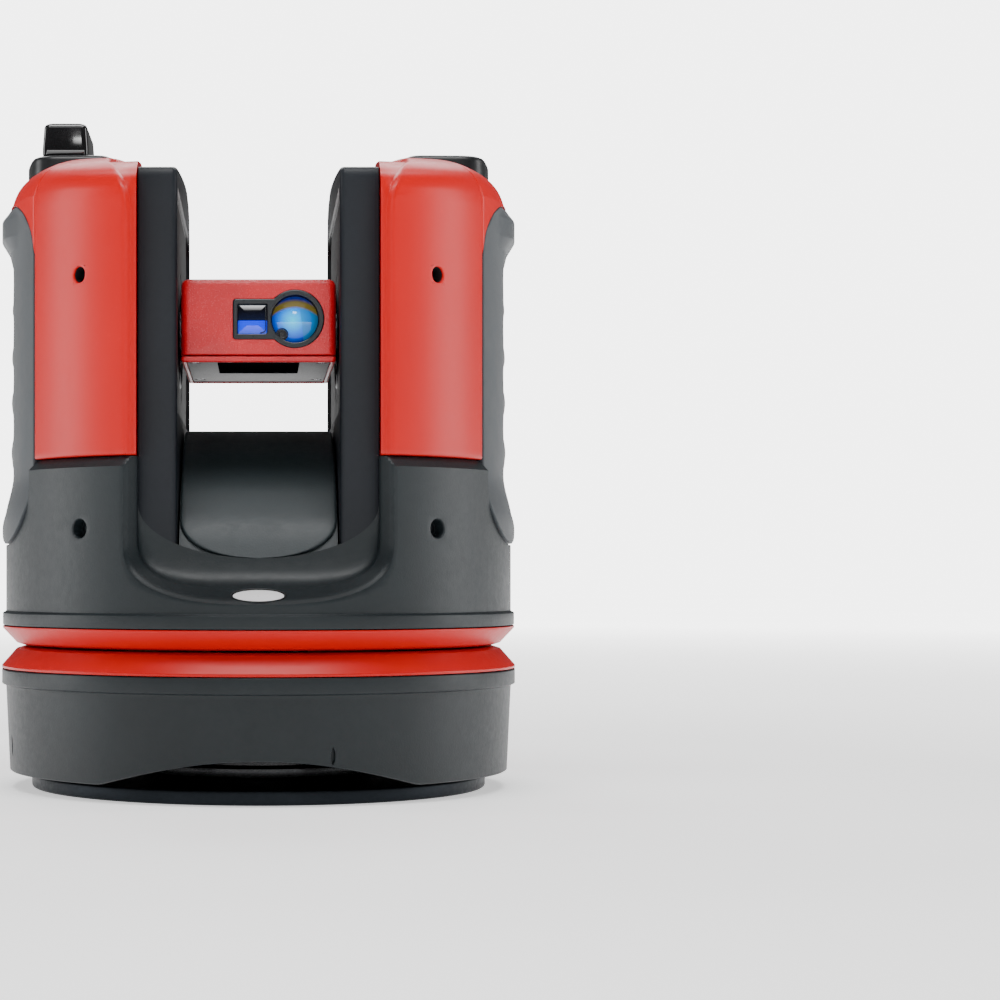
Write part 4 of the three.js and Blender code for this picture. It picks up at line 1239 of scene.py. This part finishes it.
def build_fittings():
    button = rounded([(0, 227.4), (4.6, 227.25, 0.5), (5.9, 226.9, 0.5), (5.9, 222.4, 0.1), (8.3, 222.4, 0.2),
                      (8.3, 220.1, 0.2), (0, 220.1)], 0.3, 4, False)
    piece("button_cap", *lathe(button, (66, 0, 0), (0, 0, 1), 64), "red", "button", ["power_button"])
    mark = []
    for k in range(49):
        a = math.radians(-60 + 300 * k / 48)
        mark.append(a)
    rows = []
    for r, h in ((1.9, 227.36), (2.0, 227.44), (2.3, 227.44), (2.4, 227.32)):
        rows.append([(66 + r * math.sin(a), -r * math.cos(a), h) for a in mark])
    piece("button_mark", *weld(rows), "badge", "button", recalc=False)

    def knob_loop(grow):
        return rounded([(-77.5 - grow, -18 - grow), (-61 + grow, -18 - grow), (-61 + grow, 18 + grow),
                        (-77.5 - grow, 18 + grow)], 2.4, 7)

    rows = []
    shape = [(226.7, -0.9), (226.7, -0.3), (227.1, 0.0), (229.5, 0.0), (233.0, -0.25), (236.6, -0.5)]
    for z, grow in shape:
        rows.append([(x, y, z) for x, y in knob_loop(grow)])
    for k in range(1, 8):
        a = math.pi / 2 * k / 7
        rows.append([(x, y, 236.6 + 2.0 * math.sin(a)) for x, y in knob_loop(-0.5 - 1.8 * (1 - math.cos(a)))])
    bar = merge(weld(rows, True), fan(rows[-1]), fan(rows[0]))
    collar = lathe([(4.2, 226.3), (7.6, 226.3), (8.0, 226.6), (8.0, 227.6), (7.2, 228.1), (4.2, 228.2)],
                   (-69.3, 0, 0), (0, 0, 1), 56)
    post = lathe([(3.9, 228.1), (3.9, 219.2), (2.4, 219.0)], (-69.3, 0, 0), (0, 0, 1), 32)
    piece("lock_bar", *merge(bar, collar, post), "gloss", "transport_lock", ["lock_knob"], math.radians(40))


# ---------------------------------------------------------------- head


def keyhole(grow, arc=56):
    """Outline of the bezel: a rounded square joined to a circle, in the X-Z plane."""
    r = 9.83 + grow
    cx, cz = LENS
    x0, z0, z1 = -8.65 - grow, 156.4 - grow, 170.0 + grow
    low = math.asin((cz - z0) / r)
    high = math.asin((z1 - cz) / r)
    corner = 1.1
    points = []
    for k in range(arc + 1):
        a = -math.pi + low + (math.tau - low - high) * k / arc
        points.append((cx + r * math.cos(a), cz + r * math.sin(a)))
    top = [(points[-1][0], z1), (x0, z1), (x0, z0), (points[0][0], z0)]
    left = []
    for x, z in spread_points(top[0], (x0 + corner, z1), 7)[1:]:
        left.append((x, z))
    for k in range(1, 6):
        a = math.pi / 2 + math.pi / 2 * k / 6
        left.append((x0 + corner + corner * math.cos(a), z1 - corner + corner * math.sin(a)))
    for x, z in spread_points((x0, z1 - corner), (x0, z0 + corner), 7):
        left.append((x, z))
    for k in range(1, 6):
        a = math.pi + math.pi / 2 * k / 6
        left.append((x0 + corner + corner * math.cos(a), z0 + corner + corner * math.sin(a)))
    for x, z in spread_points((x0 + corner, z0), top[3], 7)[:-1]:
        left.append((x, z))
    return points + left


def spread_points(a, b, n):
    return [(a[0] + (b[0] - a[0]) * i / n, a[1] + (b[1] - a[1]) * i / n) for i in range(n + 1)]


def flat_with_holes(outer, holes, place):
    """Triangulated face between an outer loop and hole loops."""
    work = bmesh.new()
    edges = []
    for loop in [outer, *holes]:
        made = [work.verts.new(place(a, b)) for a, b in loop]
        edges += [work.edges.new((made[i], made[(i + 1) % len(made)])) for i in range(len(made))]
    bmesh.ops.triangle_fill(work, use_beauty=True, use_dissolve=False, edges=edges)
    work.verts.index_update()
    verts = [tuple(v.co) for v in work.verts]
    faces = [tuple(v.index for v in f.verts) for f in work.faces]
    work.free()
    return verts, faces


def box_rows(x, y0, y1, z0, z1, edges, steps=5):
    """Rounded box as rings along Y: edges gives the radii of the long edges and of the front and rear rims."""
    long_r, front_r, rear_r = edges
    rows = []

    def ring(y, inset):
        return [(a, y, b) for a, b in rounded([(-x + inset, z0 + inset * 0.25, 0.5), (x - inset, z0 + inset * 0.25, 0.5),
                                               (x - inset, z1 - inset, long_r), (-x + inset, z1 - inset, long_r)],
                                              long_r, steps)]

    for k in range(steps + 1):
        a = math.pi / 2 * k / steps
        rows.append(ring(y0 + front_r * (1 - math.sin(a)), front_r * (1 - math.cos(a))))
    rows.reverse()
    for k in range(steps + 1):
        a = math.pi / 2 * k / steps
        rows.append(ring(y1 - rear_r * (1 - math.sin(a)), rear_r * (1 - math.cos(a))))
    return rows


def build_head():
    # red cover: body rings from front rim to rear rim, front face with the keyhole
    rows = box_rows(26.3, -62, 28, 150.9, 177, (3.0, 2.6, 4.0), 6)
    front = [(p[0], p[2]) for p in rows[0]]
    hole = keyhole(0.15)
    face = flat_with_holes(front, [hole], lambda a, b: (a, -62.0, b))
    wall = weld([[(a, -62.0, b) for a, b in hole], [(a, -58.2, b) for a, b in hole]], True)
    cover = merge(weld(rows, True), face, wall, fan(rows[-1]))
    piece("head_shell", *cover, "paint", "head", ["head_cover"], math.radians(40))

    def lip_ring(inset, z):
        return [(a, b, z) for a, b in rectangle(-26.3 + inset, 26.3 - inset, -62 + inset, 26 - inset, 1.4, 5)]

    rows = [lip_ring(1.7, 150.55), lip_ring(0.4, 150.55), lip_ring(0.1, 150.45), lip_ring(0.0, 150.2),
            lip_ring(0.0, 149.4), lip_ring(0.15, 149.0), lip_ring(0.5, 148.7), lip_ring(1.0, 148.62),
            lip_ring(1.6, 148.75), lip_ring(1.7, 149.2), lip_ring(1.7, 150.55)]
    piece("head_trim", *weld(rows, True), "paint", "head", ["head_lip"])

    outline = rectangle(-24.3, 24.3, -60, 24, 1.0, 5)
    spots = [(x, y) for x in (-21.6, 21.6) for y in (-52.0, 15.0)]
    cups = [[(x + 2.1 * math.cos(math.tau * k / 24), y + 2.1 * math.sin(math.tau * k / 24)) for k in range(24)]
            for x, y in spots]
    parts = [flat_with_holes(outline, cups, lambda a, b: (a, b, 149.2))]
    for (x, y), cup in zip(spots, cups):
        parts.append(weld([[(a, b, 149.2) for a, b in cup],
                           [(x + (a - x) * 0.95, y + (b - y) * 0.95, 149.9) for a, b in cup]], True))
        parts.append(fan([(x + (a - x) * 0.95, y + (b - y) * 0.95, 149.9) for a, b in cup]))
    parts.append(weld([[(a, b, z) for a, b in outline] for z in (149.2, 150.5)], True))
    parts.append(fan([(a, b, 150.5) for a, b in outline]))
    piece("head_floor", *merge(*parts), "cast", "head", ["head_bottom_plate"])
    for k, (x, y) in enumerate(spots):
        profile = [(0, 150.0), (1.7, 150.0), (1.7, 149.55), (1.5, 149.4), (1.0, 149.32), (0.75, 149.35), (0.7, 149.7),
                   (0, 149.7)]
        piece(f"floor_screw_{k}", *lathe(profile, (x, y, 0), (0, 0, 1), 28), "steel", "head")
    film = rectangle(-14, 14, -54, -16, 0.8, 4)
    piece("head_film", *slab(film, 148.8, 149.1, 0.08, lambda a, b, h: (a, b, h), 2), "label", "head",
          ["head_label"])

    # bezel with the camera window and the lens opening
    ring = keyhole(0.0)
    cx, cz = LENS
    window = rounded([(-7.1, 158.1), (3.0, 158.1, 1.2), (3.0, 168.4), (-7.1, 168.4)], 0.3, 4)
    circle = [(cx + 8.15 * math.cos(math.tau * k / 64), cz + 8.15 * math.sin(math.tau * k / 64)) for k in range(64)]

    def lifted(loop, inset, y):
        return [(a, y, b) for a, b in offset_loop(loop, inset)]

    rows = [lifted(ring, 0.0, -58.6), lifted(ring, 0.0, -62.0), lifted(ring, 0.08, -62.2), lifted(ring, 0.3, -62.35)]
    face = flat_with_holes(offset_loop(ring, 0.3), [offset_loop(window, -0.2), offset_loop(circle, -0.2)],
                           lambda a, b: (a, -62.35, b))
    win = weld([lifted(window, -0.2, -62.35), lifted(window, -0.05, -62.25), lifted(window, 0.0, -62.0),
                lifted(window, 0.1, -58.6)], True)
    eye = weld([lifted(circle, -0.2, -62.35), lifted(circle, -0.05, -62.25), lifted(circle, 0.0, -62.0),
                lifted(circle, 0.1, -58.6)], True)
    piece("keyhole_bezel", *merge(weld(rows, True), face, win, eye), "bezel", "head", ["head_bezel"])

    pane = rectangle(-6.95, 2.9, 158.25, 168.25, 0.5, 4)
    piece("camera_pane", *slab(pane, -60.9, -59.4, 0.15, lambda a, b, h: (a, h, b)), "window", "head",
          ["camera_window"])
    # bright metal edge of the mirror behind the pane, on its right and lower right
    path = [(2.45, 167.6), (2.45, 160.3), (2.2, 159.3), (1.4, 158.75), (0.6, 158.6)]
    path = smooth_line(path, 5)
    rows = []
    for d, h in ((-0.22, -60.92), (-0.16, -61.12), (0.16, -61.12), (0.22, -60.92)):
        row = []
        for i, (a, b) in enumerate(path):
            p, q = path[max(i - 1, 0)], path[min(i + 1, len(path) - 1)]
            t = Vector((q[0] - p[0], q[1] - p[1])).normalized()
            row.append((a - t.y * d, h, b + t.x * d))
        rows.append(row)
    piece("mirror_edge", *weld(rows), "bright", "head", recalc=False)

    # domed lens and the emitter tip
    profile = [(7.75, -58.2), (7.8, -58.6), (7.8, -59.6)]
    for k in range(1, 15):
        r = 7.8 * (1 - k / 14)
        profile.append((r, -61.75 + 15.9 - math.sqrt(15.9 ** 2 - r * r) if r > 0 else -61.75))
    verts, faces = lathe([(r, h) for r, h in profile], (cx, 0, cz), (0, 1, 0), 72)
    piece("lens_dome", verts, faces, "lens", "head", ["receiver_lens"])
    ex, ez = 8.0, 158.1
    tube = [(0.0, -60.9), (0.85, -60.95), (0.95, -61.3), (1.25, -61.55), (1.6, -61.45), (1.7, -61.2), (1.7, -58.0)]
    piece("emitter_tip", *lathe(tube, (ex, 0, ez), (0, 1, 0), 40), "sensor", "head", ["laser_emitter"])
    rows = []
    for r, h in ((1.75, -61.2), (1.85, -61.42), (2.05, -61.42), (2.15, -61.2)):
        rows.append([(ex + r * math.cos(math.tau * k / 40), h, ez + r * math.sin(math.tau * k / 40))
                     for k in range(40)])
    piece("emitter_ring", *weld(rows, True), "bezel", "head", recalc=False)


def dress_hidden_nodes():
    """Gives the carried-over CAD nodes their procedural materials and small rounded edges."""
    looks = {
        "steel": ["azimuth_bearing_outer", "azimuth_bearing_inner", "azimuth_motor", "tilt_bearing_right",
                  "tilt_bearing_left", "tilt_motor", "lock_cam"],
        "brass": ["azimuth_pinion", "azimuth_gear", "tilt_pinion", "tilt_gear"],
        "bright": ["azimuth_shaft", "trunnion_right", "trunnion_left"],
        "board": ["main_board", "head_board"],
        "battery": ["battery_pack"],
        "sensor": ["slip_ring_core", "lens_barrel", "camera_module"],
    }
    for look, names in looks.items():
        for name in names:
            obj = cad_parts[name]
            obj.data.materials.clear()
            obj.data.materials.append(MAT[look])
            soft = obj.modifiers.new("edges", "BEVEL")
            soft.width = 0.25 * MM
            soft.segments = 2
            soft.limit_method = "ANGLE"
            soft.angle_limit = math.radians(40)
            soft.harden_normals = False


def build_hole_shade_sleeves():
    """Dark sleeves in the screw holes of the red panels: painted shade inside the holes."""
    for where, angle in (("a", 42.3), ("b", 137.7), ("c", 222.3), ("d", 317.7)):
        out = polar(1, angle)
        origin = (out[0] * 90.0, out[1] * 90.0, 177.7)
        sleeve = lathe([(2.72, -0.75), (2.6, -0.7), (2.55, -0.9), (2.55, -5.0), (0.0, -5.05)], origin, (*out, 0), 40)
        piece("hole_shade_sleeve_" + where, *sleeve, "pit", "yoke")


def build_panel_screws():
    corners = {"front_right": 42.3, "rear_right": 137.7, "rear_left": 222.3, "front_left": 317.7}
    for where, angle in corners.items():
        x, y = polar(86.0, angle)
        screw("screw_high_" + where, "yoke", ["panel_screw_" + where], (x, y, 177.7), (*polar(1, angle), 0), 2.4,
              6.0)


build_base()
build_housing()
build_badge()
build_saddle()
build_tower(1, "tower_inner_right")
build_tower(-1, "tower_inner_left")
for mirror, hand in ((1, "right"), (-1, "left")):
    for rear, face in ((False, "front"), (True, "rear")):
        build_panel(mirror, rear, face + "_" + hand)
    build_grip(mirror, "grip_" + hand)
build_cap(1, "top_cap_right", (66, 0, 6.0))
build_cap(-1, "top_cap_left", (-69.3, 0, 4.2))
build_panel_screws()
build_hole_shade_sleeves()
build_fittings()
build_head()
dress_hidden_nodes()

# ---------------------------------------------------------------- studio


def build_floor():
    material, tree, shader = new_material("studio_floor")
    soft = noise(tree, 2.0, 3.0)
    base = mixed(tree, span(tree, soft.outputs["Fac"], 0.3, 0.7), (0.90, 0.90, 0.90), (0.94, 0.94, 0.94))
    tree.links.new(base, shader.inputs["Base Color"])
    shader.inputs["Roughness"].default_value = 0.7
    tree.links.new(base, shader.inputs["Emission Color"])
    x, y, _ = separate(tree, object_coords(tree))[0:3]
    far = math_node(tree, "SQRT", math_node(tree, "ADD", math_node(tree, "MULTIPLY", x, x),
                                            math_node(tree, "MULTIPLY", y, y)))
    tree.links.new(span(tree, far, 0.3, 2.6, 0.75, 5.3), shader.inputs["Emission Strength"])
    mesh = bpy.data.meshes.new("studio_floor")
    r = 14.0
    mesh.from_pydata([(-r, -r, 0), (r, -r, 0), (r, r, 0), (-r, r, 0)], [], [(0, 1, 2, 3)])
    mesh.materials.append(material)
    obj = bpy.data.objects.new("studio_floor", mesh)
    bpy.context.scene.collection.objects.link(obj)


def area_light(name, place, target, size, power, colour=(1, 1, 1)):
    data = bpy.data.lights.new(name, "AREA")
    data.shape = "RECTANGLE"
    data.size, data.size_y = size
    data.energy = power
    data.color = colour
    obj = bpy.data.objects.new(name, data)
    bpy.context.scene.collection.objects.link(obj)
    obj.location = place
    way = Vector(target) - Vector(place)
    obj.rotation_euler = way.to_track_quat("-Z", "Y").to_euler()
    return data


def build_studio():
    build_floor()
    area_light("soft_left", (-0.97, 0.04, 0.28), (0, 0, 0.12), (0.34, 0.9), 4.7)
    area_light("soft_right", (0.97, 0.04, 0.28), (0, 0, 0.12), (0.34, 0.9), 4.7)
    area_light("soft_front", (0, -0.95, 0.95), (0, 0, 0.12), (1.1, 0.4), 1.8)
    area_light("soft_over", (0, 0.62, 0.95), (0, 0, 0.12), (0.9, 0.55), 9)
    area_light("soft_top", (0, -0.36, 1.0), (0, -0.06, 0.1), (0.8, 0.3), 8.5)
    low = area_light("soft_core", (0, -0.85, 0.46), (0, -0.05, 0.118), (0.2, 0.12), 0.016)
    low.spread = math.radians(14)
    world = bpy.data.worlds.new("studio")
    bpy.context.scene.world = world
    world.use_nodes = True
    tree = world.node_tree
    background = tree.nodes["Background"]
    background.inputs["Color"].default_value = (1, 1, 1, 1)
    background.inputs["Strength"].default_value = 0.12
    seen = tree.nodes.new("ShaderNodeBackground")
    seen.inputs["Color"].default_value = (1, 1, 1, 1)
    seen.inputs["Strength"].default_value = 5.0
    path = tree.nodes.new("ShaderNodeLightPath")
    choose = tree.nodes.new("ShaderNodeMixShader")
    tree.links.new(path.outputs["Is Camera Ray"], choose.inputs["Fac"])
    tree.links.new(background.outputs["Background"], choose.inputs[1])
    tree.links.new(seen.outputs["Background"], choose.inputs[2])
    tree.links.new(choose.outputs["Shader"], tree.nodes["World Output"].inputs["Surface"])


def build_camera():
    data = bpy.data.cameras.new("camera")
    data.lens = 82.8
    data.sensor_width = 36
    data.shift_x = 0.2415
    data.shift_y = 0.075
    data.clip_start = 0.01
    obj = bpy.data.objects.new("camera", data)
    bpy.context.scene.collection.objects.link(obj)
    obj.location = (0, -0.842, 0.0764)
    obj.rotation_euler = (math.pi / 2, 0, 0)
    bpy.context.scene.camera = obj


build_studio()
build_camera()
